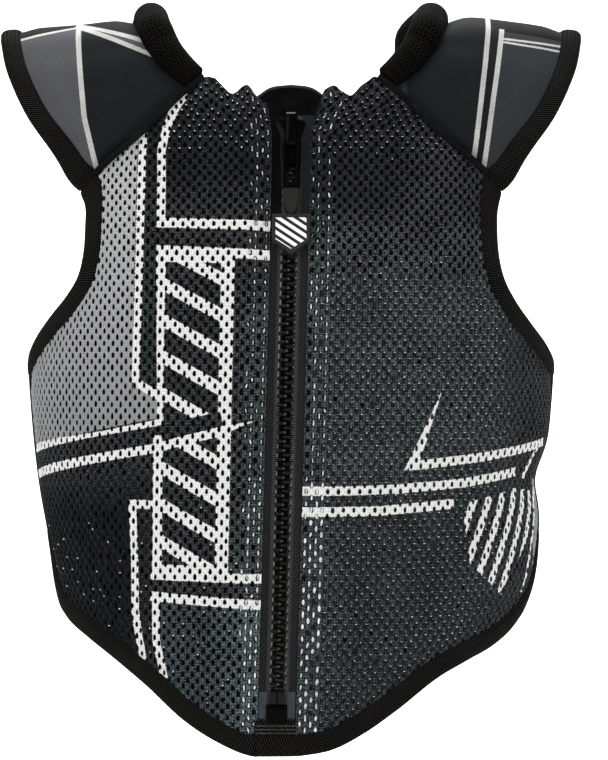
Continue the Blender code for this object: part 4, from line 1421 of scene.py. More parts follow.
class Grain(Enum):
    """Plain finishes: name, deep and light colour, roughness, grain in metres, bump in metres, gloss."""

    LINING = ("lining", (0.0020, 0.0022, 0.0025), (0.0080, 0.0082, 0.0088),
              0.90, 0.0007, 0.00025, 0.05)
    RESIN = ("moulded_resin", (0.0024, 0.0022, 0.0018), (0.0055, 0.0050, 0.0043),
             0.34, 0.004, 0.00002, 0.12)
    BEAD = ("tooth_bead", (0.0050, 0.0046, 0.0040), (0.0090, 0.0083, 0.0074),
            0.16, 0.004, 0.00002, 0.55)
    LACQUER = ("gloss_lacquer", (0.0003, 0.0003, 0.0003), (0.0008, 0.0008, 0.0008),
               0.20, 0.003, 0.00002, 0.035)
    TAB = ("tab_plastic", (0.0080, 0.0085, 0.0080), (0.0160, 0.0170, 0.0155),
           0.60, 0.0006, 0.00005, 0.07)
    # white spacer yarn, painted brighter as a highlight
    YARN = ("spacer_yarn", (0.36, 0.39, 0.40), (0.78, 0.80, 0.81), 0.40, 0.0020, 0.00002, 0.2)
    # painted highlights on the knots between the holes
    GLINT = ("knot_glint", (0.22, 0.24, 0.245), (0.62, 0.65, 0.655), 0.50, 0.0020, 0.00002, 0.15)
    SHADE = ("spacer_shade", (0.0060, 0.0075, 0.0082), (0.0180, 0.0210, 0.0220),
             0.85, 0.0014, 0.00004, 0.03)
    THREAD = ("thread", (0.030, 0.029, 0.028), (0.10, 0.097, 0.094), 0.70, 0.0009, 0.00004, 0.1)
    FILM = ("tape_film", (0.0125, 0.0165, 0.0210), (0.028, 0.035, 0.042), 0.36, 0.0015, 0.00006, 0.2)

    def make(self) -> bpy.types.Material:
        """Cloudy colour and a fine bump.

        Returns:
            The material, made once.
        """
        name, deep, light, rough, size, depth, gloss = self.value
        if name in bpy.data.materials:
            return bpy.data.materials[name]
        nodes = Nodes(name)
        grain = nodes.noise(nodes.space(), size, 3.0, 0.6)
        broad = nodes.noise(nodes.space(), size * 12, 2.0)
        colour = nodes.mix((grain * 0.6 + broad * 0.4).rise(0.35, 0.65), deep, light)
        return nodes.finish(Base_Color=colour, Roughness=(grain - 0.5) * 0.12 + rough,
                            Specular_IOR_Level=gloss, Normal=nodes.bump(grain, depth, 0.6))


@dataclass(frozen=True)
class Twill:
    """Zip tape with a herringbone weave, with painted shade that darkens it above the slider's lower end."""

    name: str
    light: float
    # share of the light above the slider's lower end; the darkening there is painted shade
    high: float
    deep: tuple[float, float, float] = (0.0010, 0.0011, 0.0012)
    stitch: tuple[float, float, float] = (0.085, 0.085, 0.082)
    middle: float = 0.0066
    # the herringbone's pitch across and along, and the stitches' pitch, slant and outer end
    weave: tuple[float, float] = (0.0019, 0.0011)
    ends: tuple[float, float, float] = (0.0011, 0.25, 0.0058)

    def make(self) -> bpy.types.Material:
        """Stripes whose slant turns over in the middle of the tape, and the ends of the cord's stitches.

        Returns:
            The material.
        """
        nodes = Nodes(self.name)
        s, t = nodes.plane()
        bend = (s - self.middle).size()
        lines = (bend * (TURN / self.weave[0]) + t * (TURN / self.weave[1])).swing()
        grain = nodes.noise(nodes.space(), 0.0005, 2.0, 0.6)
        # painted shade: the weave and the stitches' ends darken above the slider's lower end
        low = t.rise(0.085, 0.110) * (1 - self.high) + self.high
        colour = nodes.mix((lines * 0.7 + grain * 0.5).rise(0.40, 0.95) * low, self.deep,
                           (self.light, self.light * 1.02, self.light * 1.06))
        pitch, slant, outer = self.ends
        ends = (0.20 - (((t - s * slant) / pitch).part() - 0.5).size()).rise(-0.05, 0.05)
        ends = ends * (outer - s).rise(-1e-4, 1e-4)
        colour = nodes.mix(ends * low * 0.7, colour, self.stitch)
        return nodes.finish(Base_Color=colour, Roughness=0.85, Specular_IOR_Level=0.03,
                            Normal=nodes.bump(lines * 0.7 + grain * 0.4, 0.00025, 0.8))


@dataclass(frozen=True)
class Stitched:
    """Cord along the teeth, with light stitches over it at every pitch of the height."""

    name: str
    radius: float
    long_pitch: float
    pitch: float = 0.0011
    cord: tuple[float, float, float] = (0.0020, 0.0019, 0.0018)
    thread: tuple[tuple[float, float, float], ...] = ((0.085, 0.085, 0.082), (0.21, 0.21, 0.204))

    def make(self) -> bpy.types.Material:
        """Small stitches at the cord's sides, and a long one for each tooth along its front.

        Returns:
            The material.
        """
        nodes = Nodes(self.name)
        s, t = nodes.plane()
        grain = nodes.noise(nodes.space(), 0.0007, 2.0, 0.6)
        aside = (s / self.radius + QUARTER).sine().size()
        small = 0.20 - ((t / self.pitch).part() - 0.5).size() + (grain - 0.5) * 0.2
        long = 0.32 - ((t / self.long_pitch).part() - 0.5).size() + (grain - 0.5) * 0.1
        mask = small.least(aside * 2.0 - 0.9).rise(-0.03, 0.03) * 0.55
        mask = mask.most(long.least(0.42 - aside).rise(-0.03, 0.03))
        colour = nodes.mix(mask, self.cord, nodes.mix(grain, *self.thread))
        return nodes.finish(Base_Color=colour, Roughness=0.75, Specular_IOR_Level=0.08,
                            Normal=nodes.bump(mask, 0.0002, 0.8))


@dataclass(frozen=True)
class BadgePrint:
    """Matte rubber, with plain slanting white bars inside the badge's rim."""

    hatch: Hatch
    rim: float = 1.75
    point_rim: float = 2.8
    rubber: tuple[tuple[float, float, float], ...] = ((0.0105, 0.0108, 0.0105), (0.0190, 0.0195, 0.0190))
    ink: tuple[tuple[float, float, float], ...] = ((0.74, 0.75, 0.75), (0.86, 0.87, 0.87))

    def make(self, low: float, down: Array, half: float, length: float,
             front: float) -> bpy.types.Material:
        """White bars that end at the rim, on the front side alone.

        Args:
            low: place of the badge's point along the way down.
            down: unit vector down the badge, in Y and Z.
            half: half of its width.
            length: from its top edge to its point.
            front: place along the way out above which the print lies.

        Returns:
            The material.
        """
        nodes = Nodes("badge_rubber")
        x, y, z = nodes.axes()
        across = x * 1000.0
        along = (y * float(down[0]) + z * float(down[1]) - low) * -1000.0
        out = y * float(down[1]) - z * float(down[0])
        wide, top = 1000 * half - self.rim, 1000 * length - self.rim
        shoulder = 340 * length + self.rim * 0.4
        shape = [(-wide, top), (wide, top), (wide, shoulder), (0.0, self.point_rim), (-wide, shoulder)]
        reach = zone(across, along, shape).least(self.hatch.reach(across, along))
        grain = nodes.noise(nodes.space(), 0.0006, 2.0)
        white = reach.rise(-0.05, 0.10) * (out - front).rise(0.0, 1e-5)
        colour = nodes.mix(white, nodes.mix(grain, *self.rubber), nodes.mix(grain, *self.ink))
        return nodes.finish(Base_Color=colour, Roughness=0.62, Specular_IOR_Level=0.12,
                            Normal=nodes.bump(white * 0.8 + grain * 0.2, 0.0002, 0.8))


@dataclass(frozen=True)
class SmallHoles:
    """Fine black mesh of the neck rolls, with small round holes in a brick pattern."""

    pitch: float = 0.0025
    row: float = 0.00185
    yarn: tuple[tuple[float, float, float], ...] = ((0.0008, 0.0008, 0.0007), (0.0105, 0.0098, 0.0088))
    hole: tuple[float, float, float] = (0.0004, 0.0004, 0.0004)

    def make(self) -> bpy.types.Material:
        """Holes as dark sunken dots on the UV map.

        Returns:
            The material.
        """
        nodes = Nodes("roll_mesh")
        s, t = nodes.plane()
        level = t / self.row
        shift = (level.whole() * 0.5).part() * self.pitch
        across = (((s + shift) / self.pitch).part() - 0.5) * (self.pitch / self.row)
        up = level.part() - 0.5
        away = (across * across + up * up * 0.8).math("SQRT")
        grain = nodes.noise(nodes.vector(s, t), 0.0006, 2.0)
        hole = 1.0 - (away + (grain - 0.5) * 0.12).rise(0.33, 0.47)
        colour = nodes.mix(hole, nodes.mix(grain.rise(0.3, 0.7), *self.yarn), self.hole)
        height = (1.0 - hole) * 0.8 + grain * 0.3
        return nodes.finish(Base_Color=colour, Roughness=0.90, Specular_IOR_Level=0.015,
                            Normal=nodes.bump(height, 0.0005, 0.9))


# ---- padded panels


@dataclass(frozen=True)
class Gathers:
    """Folds of a front panel under its gathered neckline."""

    depth: float = 0.0040
    length: float = 0.042
    # turn and half width as shares of the quarter turn, and the share of the depth
    folds: tuple[tuple[float, float, float], ...] = (
        (0.118, 0.55, 0.026), (0.158, -0.80, 0.022), (0.183, 0.60, 0.014), (0.212, -0.45, 0.012),
        (0.240, 0.35, 0.012), (0.272, -0.30, 0.014), (0.310, 0.22, 0.018),
    )

    def relief(self, place: Array, top: Array) -> Array:
        """Height of the folds: bells across the turn that fade with the 1.5th power of the way down.

        Args:
            place: places on the panel.
            top: the panel's top edge.

        Returns:
            The height at each place.
        """
        turn = place[..., 0] / QUARTER
        level = np.interp(turn, top[:, 0] / QUARTER, top[:, 1])
        fade = np.clip(1 - (level - place[..., 1]) / self.length, 0, 1) ** 1.5
        found = np.zeros(turn.shape)
        for centre, share, half in self.folds:
            found += share * self.depth * np.exp(-(((turn - centre) / half) ** 2)) * fade
        return found


@dataclass(frozen=True)
class Glint:
    """Slivers of yarn in holes, the bright ones carrying painted highlights: sizes in metres, and the share
    of the holes that have one.
    """

    wide: float
    tall: float
    chance: Callable[[Array], Array]
    offset: tuple[float, float] = (0.0, 0.0)
    level: float = -0.00012
    seed: int = 11
    # how much larger they are below the hem's rise
    low_growth: float = 0.0


@dataclass(frozen=True)
class Padding:
    """A foam panel under a skin of holed mesh."""

    thickness: float = 0.012
    edge: float = 0.0065
    roll: float = 0.0014
    pitch: float = 0.0054
    row: float = 0.00312
    hole: tuple[float, float] = (0.00090, 0.00156)
    knot: float = 0.00022
    lip: float = 0.00030
    depth: float = 0.0018
    # thicknesses over which the edge rises to the full one
    crown: float = 1.1
    # share of the pitch by which a hole's middle may lie outside the panel, and a hole's narrowing
    beyond: float = 0.42
    taper: float = 0.86
    # hexagon corners nearer than this are one, and quads smaller than this in square metres are left out
    join: float = 2e-5
    least_area: float = 2e-9
    # widths at the edge over which the holes and the foam sink to their depth
    hole_rim: float = 0.0012
    foam_rim: float = 0.003

    def rise(self, inside: Array) -> Array:
        """Share of the full thickness at distances inside the panel's edge."""
        return smooth(inside / (self.thickness * self.crown))

    def lattice(self, edge: Array, margin: int, shift: float) -> Array:
        """Centres of the brick lattice of holes that covers a panel.

        Args:
            edge: the panel's outline in fabric coordinates.
            margin: columns and rows added round it.
            shift: moves the lattice along s.

        Returns:
            The centres, in fabric coordinates.
        """
        step = (self.pitch, self.row)
        low = np.floor(edge.min(axis=0) / step).astype(int) - margin
        high = np.ceil(edge.max(axis=0) / step).astype(int) + margin + 1
        grid = np.meshgrid(np.arange(low[0], high[0]), np.arange(low[1], high[1]), indexing="ij")
        column, line = (part.ravel() for part in grid)
        return np.column_stack([self.pitch * (column + 0.5 * (line % 2)) + shift, self.row * line])

    def skin(self, name: str, wrap: Wrap, side: int, edge: Array, relief: Callable[[Array], Array],
             keep: Callable[[Array], Array] | None = None, shift: float = 0.0,
             seed: int = 3) -> bpy.types.Object:
        """The holed mesh, worked out whole.

        Formula: holes stand in a brick lattice. Each has the hexagon of the lattice round it, with a point
        in the middle of each long side, an egg shape of as many points, and a narrower one at the hole's
        depth. Corners of the hexagons are raised as knots. Points outside the panel are drawn to its edge.

        Args:
            name: the piece's name.
            wrap: fabric coordinates.
            side: -1 mirrors the trunk's turns.
            edge: the panel's outline in fabric coordinates.
            relief: extra height at places.
            keep: which hole centres belong to this piece.
            shift: moves the lattice along s.
            seed: seed of the holes' small differences.

        Returns:
            The piece.
        """
        p, r = self.pitch, self.row
        centre = self.lattice(edge, 1, shift)
        inner, _ = inside_distance(centre, edge)
        kept = inner > -self.beyond * p
        if keep is not None:
            kept &= keep(centre)
        centre = centre[kept]
        short = (r * r - p * p / 4) / (2 * r)
        tall = (p * p / 4 + r * r) / (2 * r)
        mid = (short + tall) / 2
        ring = np.array([(p / 2, -short), (p / 2, short), (p / 4, mid), (0, tall), (-p / 4, mid),
                         (-p / 2, short), (-p / 2, -short), (-p / 4, -mid), (0, -tall), (p / 4, -mid)])
        knot = np.array([1, 1, 0, 1, 0, 1, 1, 0, 1, 0]) * self.knot
        angle = np.radians(-18 + 36 * np.arange(10))
        draw = np.random.default_rng(seed)
        size = draw.uniform(0.88, 1.12, (len(centre), 1, 2))
        oval = np.column_stack([self.hole[0] * np.cos(angle) * (1 + 0.2 * np.sin(angle)),
                                self.hole[1] * np.sin(angle)])
        nudge = draw.normal(0, 0.00012, (len(centre), 1, 2))
        outer = (centre[:, None] + ring).reshape(-1, 2)
        hole = centre[:, None] + nudge + oval * size
        deep = centre[:, None] + nudge + oval * size * self.taper
        _, first, back = np.unique(np.round(outer / self.join).astype(int), axis=0, return_index=True,
                                   return_inverse=True)
        cloth = np.concatenate([outer[first], hole.reshape(-1, 2), deep.reshape(-1, 2)])
        count, cells = len(first), len(centre)
        height = np.concatenate([np.tile(knot, cells)[first], np.full(cells * 10, -self.lip),
                                 np.full(cells * 10, -self.depth)])
        inner, nearest = inside_distance(cloth, edge)
        cloth = np.where(inner[:, None] < 0, nearest, cloth)
        inner = np.clip(inner, 0, None)
        place = wrap.places(cloth)
        height = height * np.clip(inner / self.hole_rim, 0, 1)
        height = height + (self.rise(inner) - 1) * self.roll + relief(place)
        normal = TRUNK.normal(place, side)
        points = TRUNK.point(place, side) + normal * height[:, None]
        around = back.reshape(cells, 10)
        oval_at = count + np.arange(cells * 10).reshape(cells, 10)
        deep_at = oval_at + cells * 10
        quads = np.concatenate([
            np.stack([a, np.roll(a, -1, axis=1), np.roll(b, -1, axis=1), b], axis=-1).reshape(-1, 4)
            for a, b in ((around, oval_at), (oval_at, deep_at))
        ])
        corner = points[quads]
        area = np.linalg.norm(np.cross(corner[:, 2] - corner[:, 0], corner[:, 3] - corner[:, 1]), axis=1)
        quads = facing(points, quads[area > self.least_area], normal)
        used, flat = np.unique(quads, return_inverse=True)
        sunk = np.repeat([0.0, 0.0, 1.0], [count, cells * 10, cells * 10])
        return make_mesh(name, points[used], [flat.reshape(-1, 4)], cloth[used], sunk=sunk[used])

    def body(self, name: str, grid: Array, side: int, wrap: Wrap,
             relief: Callable[[Array], Array]) -> bpy.types.Object:
        """The foam with its lining: the CAD wall, whose outside sinks under the skin's holes.

        Args:
            name: the piece's name.
            grid: places of the panel.
            side: -1 mirrors the trunk's turns.
            wrap: fabric coordinates.
            relief: extra height at places.

        Returns:
            The piece.
        """
        cloth = wrap.cloth(grid)
        inner = inside_distance(cloth.reshape(-1, 2), outline(cloth))[0]
        inner = np.clip(inner, 0, None).reshape(grid.shape[:2])
        rise = self.rise(inner)[..., None]
        sink = (self.depth - 0.0001) * np.clip(inner / self.foam_rim, 0, 1)[..., None]
        point, normal = TRUNK.point(grid, side), TRUNK.normal(grid, side)
        extra = relief(grid)[..., None]
        outer = point + normal * ((rise - 1) * self.roll + extra - sink)
        thin = self.edge - self.roll
        inner_side = point - normal * (thin + (self.thickness - thin) * rise)
        return wall(name, outer, inner_side, cloth, 60)

    def glints(self, name: str, kind: Glint, wrap: Wrap, side: int, edge: Array,
               relief: Callable[[Array], Array], shift: float = 0.0) -> bpy.types.Object:
        """Slivers of spacer yarn inside some of the holes, the bright ones carrying painted highlights.

        Formula: each is a flat six-sided sliver, slanting a little, just under the skin's lip.

        Args:
            name: the piece's name.
            kind: how they look and where they lie.
            wrap: fabric coordinates.
            side: -1 mirrors the trunk's turns.
            edge: the panel's outline.
            relief: extra height at places.
            shift: the lattice's shift along s.

        Returns:
            The piece.
        """
        centre = self.lattice(edge, 0, shift)
        draw = np.random.default_rng(kind.seed)
        lucky = draw.uniform(0, 1, len(centre)) < kind.chance(centre)
        inner, _ = inside_distance(centre, edge)
        centre = centre[lucky & (inner > 0.0016)] + np.array(kind.offset)
        count = len(centre)
        grown = 1 + kind.low_growth * smooth((centre[:, 1:] - 0.235) / 0.01)
        wide = draw.uniform(0.7, 1.2, (count, 1)) * kind.wide * grown
        tall = draw.uniform(0.7, 1.15, (count, 1)) * kind.tall * grown ** 0.5
        lean = draw.normal(0, 0.12, (count, 1)) * kind.tall
        shape = np.array([(0.4, 1), (-0.6, 0.9), (-1, 0), (-0.4, -1), (0.6, -0.9), (1, 0)])
        s = centre[:, :1] + shape[:, 0] * wide + shape[:, 1] * lean
        t = centre[:, 1:] + shape[:, 1] * tall
        cloth = np.stack([s, t], axis=-1).reshape(-1, 2)
        depth, _ = inside_distance(cloth, edge)
        place = wrap.places(cloth)
        height = (self.rise(depth) - 1) * self.roll + relief(place) - self.lip + kind.level
        tilt = np.tile(shape[:, 0] * 0.00018, count)
        normal = TRUNK.normal(place, side)
        points = TRUNK.point(place, side) + normal * (height + tilt)[:, None]
        faces = np.arange(count * 6).reshape(count, 6)
        return make_mesh(name, points, [facing(points, faces, normal)], cloth)


@dataclass
class FrontPanel:
    """One padded front half."""

    side: Side
    finish: Spacer
    # slivers in the holes: bright yarn dashes and knot slivers carrying painted highlights, and dark yarn
    # fills
    dashes: Glint
    ticks: Glint
    fills: Glint
    padding: Padding = Padding()
    gathers: Gathers = Gathers()

    def build(self) -> None:
        """Makes the foam, the holed skin and the yarn slivers in its holes, the bright ones with painted
        highlights.
        """
        sign, word = self.side.value, self.side.word
        wrap = Wrap(lambda z: CUT.zip_edge(z, sign), -0.12, QUARTER + 0.15, True)
        grid = CUT.front(sign)
        top = grid[:, -1]

        def relief(place: Array) -> Array:
            """Height of the folds at places."""
            return self.gathers.relief(place, top)

        edge = wrap.cloth(outline(grid))
        shift = self.padding.pitch * 0.36
        finish = replace(self.finish, lattice=(self.padding.pitch, self.padding.row, shift))
        body = self.padding.body("front_foam_" + word, grid, sign, wrap, relief)
        skin = self.padding.skin("front_mesh_" + word, wrap, sign, edge, relief, shift=shift, seed=5 + sign)
        node = "front_panel_" + word
        place_piece(body, Grain.LINING.make(), stands_for=[node])
        place_piece(skin, finish.make(wrap), stands_for=[node])
        # dashes are white spacer yarn with painted highlights, knot highlights are painted highlights, fills
        # are the yarn's own dark tone
        for kind, glint, grain in (("dashes", self.dashes, Grain.YARN), ("ticks", self.ticks, Grain.GLINT),
                                   ("fills", self.fills, Grain.SHADE)):
            yarns = self.padding.glints(f"yarn_{kind}_{word}", glint, wrap, sign, edge, relief, shift)
            place_piece(yarns, grain.make(), stands_for=[node])


@dataclass
class BackPanel:
    """The padded back in one piece, with its skin in two halves that meet on the middle line."""

    finish: Spacer
    padding: Padding = Padding()

    def build(self) -> None:
        """Makes the foam and the two halves of the skin."""
        wrap = Wrap(lambda z: np.zeros_like(z), -QUARTER - 0.15, QUARTER + 0.15, False)
        grid = CUT.back()

        def flat(place: Array) -> Array:
            """The back has no folds."""
            return np.zeros(place.shape[:-1])

        edge = wrap.cloth(outline(grid))
        body = self.padding.body("back_foam", grid, 1, wrap, flat)
        place_piece(body, Grain.LINING.make(), stands_for=["back_panel"])
        finish = self.finish.make(wrap)
        for side in Side:
            keep = (lambda c, sign=side.value: (c[:, 0] * sign > 0) | ((c[:, 0] == 0) & (sign > 0)))
            skin = self.padding.skin("back_mesh_" + side.word, wrap, 1, edge, flat, keep=keep,
                                     seed=21 + side.value)
            place_piece(skin, finish, stands_for=["back_panel"])


# ---- webbing, straps and rolls


@dataclass(frozen=True)
class Binding:
    """Ribbed webbing folded over an edge."""

    thickness: float = 0.0082
    proud: float = 0.0007
    rib: float = 0.00125
    relief: float = 0.00018
    overhang: float = 0.12
    around: int = 18
    # power of the section's superellipse, and how far the ribs slant across it
    power: float = 2.6
    slant: float = 0.8

    def along(self, name: str, outer: Array, inner: Array, normal: Array) -> bpy.types.Object:
        """The folded webbing.

        Formula: at each station the section is a superellipse between the inside and a little beyond the
        edge, and the ribs move it out by a half sine of the length, which slants across the webbing.

        Args:
            name: the piece's name.
            outer: points on the vest's edge.
            inner: points on the webbing's inside line.
            normal: unit normals.

        Returns:
            The piece.
        """
        outer = outer + (outer - inner) * self.overhang
        reach = lengths((outer + inner) / 2)
        count = int(reach[-1] / self.rib * 3) + 1
        length = np.linspace(0, reach[-1], count)
        data = np.concatenate([outer, inner, normal], axis=1)
        data = read_rows(data, np.interp(length, reach, np.arange(len(reach))))
        outer, inner, normal = data[:, :3], data[:, 3:6], data[:, 6:]
        normal = normal / np.linalg.norm(normal, axis=1)[:, None]
        angle = np.linspace(0, TURN, self.around, endpoint=False)
        across = signed_power(np.cos(angle), 2 / self.power)
        out = signed_power(np.sin(angle), 2 / self.power)
        middle = (outer + inner) / 2 - normal * (self.thickness / 2 - self.proud)
        half = (outer - inner) / 2
        ribs = np.abs(np.sin(math.pi * (length[:, None] / self.rib + across * self.slant))) * self.relief
        stretch = 1 + (ribs - self.relief) / np.linalg.norm(half, axis=1)[:, None]
        rise = self.thickness / 2 + ribs - self.relief
        points = (middle[:, None] + half[:, None] * (across * stretch)[..., None]
                  + normal[:, None] * (out * rise)[..., None])
        girth = lengths(np.vstack([points[0], points[0][:1]]))[:-1]
        cloth = np.stack(np.broadcast_arrays(length[:, None], girth), axis=-1).reshape(-1, 2)
        cloth = np.concatenate([cloth, [(0, 0), (length[-1], 0)]])
        points = np.concatenate([points.reshape(-1, 3), points[[0, -1]].mean(axis=1)])
        return outwards(make_mesh(name, points, tube_faces(count, self.around), cloth))

    def on_trunk(self, name: str, rows: Array, side: int, finish: bpy.types.Material) -> bpy.types.Object:
        """The webbing on the trunk, in place of the CAD node of the same name.

        Args:
            name: the node's name.
            rows: rows of places, of which the first is on the edge and the second inside.
            side: -1 mirrors the trunk's turns.
            finish: the webbing's material.

        Returns:
            The piece.
        """
        fine = even_rows(rows[:, :2], 0, 400, scale=CUT.flat)
        outer, inner = TRUNK.point(fine[:, 0], side), TRUNK.point(fine[:, 1], side)
        normal = TRUNK.normal(fine.mean(axis=1), side)
        made = self.along(name + "_webbing", outer, inner, normal)
        return place_piece(made, finish, stands_for=[name])


@dataclass
class Bindings:
    """Webbing round the armholes and along the hem."""

    binding: Binding = Binding()
    tape: Binding = Binding(thickness=0.006, overhang=0.0, relief=0.0002)
    under: float = 0.003

    def build(self, finish: bpy.types.Material) -> None:
        """Makes each run of webbing and the tapes over the side seams, whose ends lie under the webbing.

        Args:
            finish: the webbing's material.
        """
        for side in Side:
            sign, word = side.value, side.word
            arm = CUT.armhole_band(sign)
            whole = np.concatenate([arm[::-1], to_back(arm)[1:]])
            self.binding.on_trunk("armhole_binding_" + word, whole, sign, finish)
            hem, _ = CUT.hem_band(sign)
            self.binding.on_trunk("hem_binding_" + word, hem, sign, finish)
            low, high = hem[-2:, 1, 1].max() - self.under, arm[:2, 1, 1].min() + self.under
            z = np.linspace(low, high, 60)
            half = CUT.side_gap(0.0)
            rows = np.stack([np.column_stack([QUARTER + turn + 0 * z, z]) for turn in (half, -half)], axis=1)
            self.tape.on_trunk("side_tape_" + word, rows, sign, finish)
        hem, _ = CUT.hem_band(0)
        rows = np.concatenate([to_back(hem)[::-1], hem[1:] + (math.pi, 0)])
        self.binding.on_trunk("hem_binding_back", rows, 1, finish)


def path_tube(name: str, path: Array, radius: Array, across: int) -> bpy.types.Object:
    """A round tube along a path.

    Formula: circles across the path's direction, closed by a flat cap at each end.

    Args:
        name: the piece's name.
        path: points of the middle line.
        radius: the radius at each point.
        across: points round the tube.

    Returns:
        The piece.
    """
    forward = np.gradient(path, axis=0)
    forward /= np.linalg.norm(forward, axis=1)[:, None]
    over = np.cross(forward, (0.0, 0.0, 1.0))
    over /= np.linalg.norm(over, axis=1)[:, None]
    up = np.cross(over, forward)
    angle = np.linspace(0, TURN, across, endpoint=False)
    ring = np.cos(angle)[None, :, None] * over[:, None] + np.sin(angle)[None, :, None] * up[:, None]
    points = path[:, None] + ring * radius[:, None, None]
    length = lengths(path)
    girth = angle * float(radius.max())
    cloth = np.stack(np.broadcast_arrays(girth, length[:, None]), axis=-1).reshape(-1, 2)
    cloth = np.concatenate([cloth, [(0, 0), (0, length[-1])]])
    points = np.concatenate([points.reshape(-1, 3), path[[0, -1]]])
    return outwards(make_mesh(name, points, tube_faces(len(path), across), cloth))


@dataclass
class Shoulder:
    """A padded strap, its neck roll, its outer webbing and the piping of its two seams."""

    side: Side
    finish: Knit
    thickness: float = 0.0105
    edge: float = 0.0065
    roll: float = 0.0014
    crown: tuple[float, float] = (0.0018, 0.0042)
    rows: int = 90
    columns: int = 30
    # depth and half pitch of the roll's puckers, and how far the piping stays off the neck
    pucker: tuple[float, float] = (0.018, 0.011)
    piping_start: float = 0.0045
    binding: Binding = Binding()

    def _grids(self) -> tuple[Array, Array, Array]:
        """The surface of the strap and its binding.

        Returns:
            Its grid of points, their normals, and the rows that it came from.
        """
        sign = self.side.value
        rows = CUT.strap(sign, self.rows)
        seam = CUT.seam_rows(CUT.meet)
        ends = []
        for k, line in ((0, TRUNK.point(seam)), (-1, TRUNK.point(to_back(seam)))):
            picks = [int(np.linalg.norm(line - rows[k, n], axis=1).argmin()) for n in (3, 2)]
            ends.append(even(line[picks[0]:picks[1] + 1], self.columns))
            rows[k, 3] = ends[-1][0]
            rows[k, 1:3] += ends[-1][-1] - rows[k, 2]
        grid = patch(rows[:, 3], rows[:, 2], ends[0], ends[1])
        middle = (rows[:, 0] + rows[:, 1]) / 2
        whole = np.concatenate([grid, np.stack([rows[:, 1], middle, rows[:, 0]], axis=1)], axis=1)
        whole = whole * (sign, 1, 1)
        normal = np.cross(np.gradient(whole, axis=0), np.gradient(whole, axis=1))
        normal /= np.maximum(np.linalg.norm(normal, axis=-1), 1e-12)[..., None]
        if (normal * (whole + (0, 0, 0.3 * TRUNK.hem))).sum() < 0:
            normal = -normal
        return whole, normal, rows

    def build(self, webbing: bpy.types.Material, mesh: bpy.types.Material) -> None:
        """Makes the strap, the roll, the webbing and the piping.

        Args:
            webbing: the webbing's material.
            mesh: the roll's material.
        """
        sign, word = self.side.value, self.side.word
        whole, normal, rows = self._grids()
        cut = self.columns
        grid, up = whole[:, :cut], normal[:, :cut]
        across = np.cumsum(np.linalg.norm(np.diff(grid, axis=1, prepend=grid[:, :1]), axis=-1), axis=1)
        along = np.cumsum(np.linalg.norm(np.diff(grid, axis=0, prepend=grid[:1]), axis=-1), axis=0)
        near = np.minimum(np.minimum(across, across[:, -1:] - across),
                          np.minimum(along, along[-1:] - along))
        rise = smooth(near / (self.thickness * 1.1))[..., None]
        bulge = np.outer(np.sin(np.linspace(0, math.pi, len(grid))),
                         np.sin(np.linspace(0, 1, cut) ** 0.7 * math.pi))[..., None]
        outer = grid + up * ((rise - 1) * self.roll + self.crown[sign > 0] * bulge)
        thin = self.edge - self.roll
        inner = grid - up * (thin + (self.thickness - thin) * rise)
        cloth = np.stack([across[:, -1:] - across, along], axis=-1)
        strap = wall("strap_" + word, outer, inner, cloth, 60)
        place_piece(strap, self.finish.make(), stands_for=["shoulder_panel_" + word])
        edge = self.binding.along("shoulder_webbing_" + word, whole[:, -1], whole[:, cut], normal[:, -2])
        place_piece(edge, webbing, stands_for=["shoulder_binding_" + word])
        path = rows[:, 4] * (sign, 1, 1)
        radius = rows[:, 5, 0]
        step = lengths(path)
        depth, pitch = self.pucker
        fade = smooth(step / 0.01)
        puckers = 1 - depth * np.abs(np.sin(step / pitch)) * fade * smooth((step[-1] - step) / 0.01)
        roll = path_tube("roll_" + word, path, radius * puckers, 36)
        place_piece(roll, mesh, stands_for=["neck_roll_" + word])
        for where, line in (("front", CUT.seam_rows()), ("back", to_back(CUT.seam_rows()))):
            path = even(TRUNK.point(line, sign), 200)
            reach = lengths(path)
            inside = (reach > self.piping_start) & (reach < reach[-1] - CUT.binding * 1.15)
            path = even(path[inside], 120)
            piping = path_tube(f"piping_{where}_{word}", path, np.full(120, CUT.piping), 12)
            place_piece(piping, Grain.LINING.make(), stands_for=[f"seam_piping_{where}_{word}"])


# ---- the zip


@dataclass(frozen=True)
class Strip:
    """A flat piece on the zip: its drops, its places across, how far out it lies and its thickness."""

    low: float
    high: float
    across: tuple[float, float]
    out: float
    thickness: float


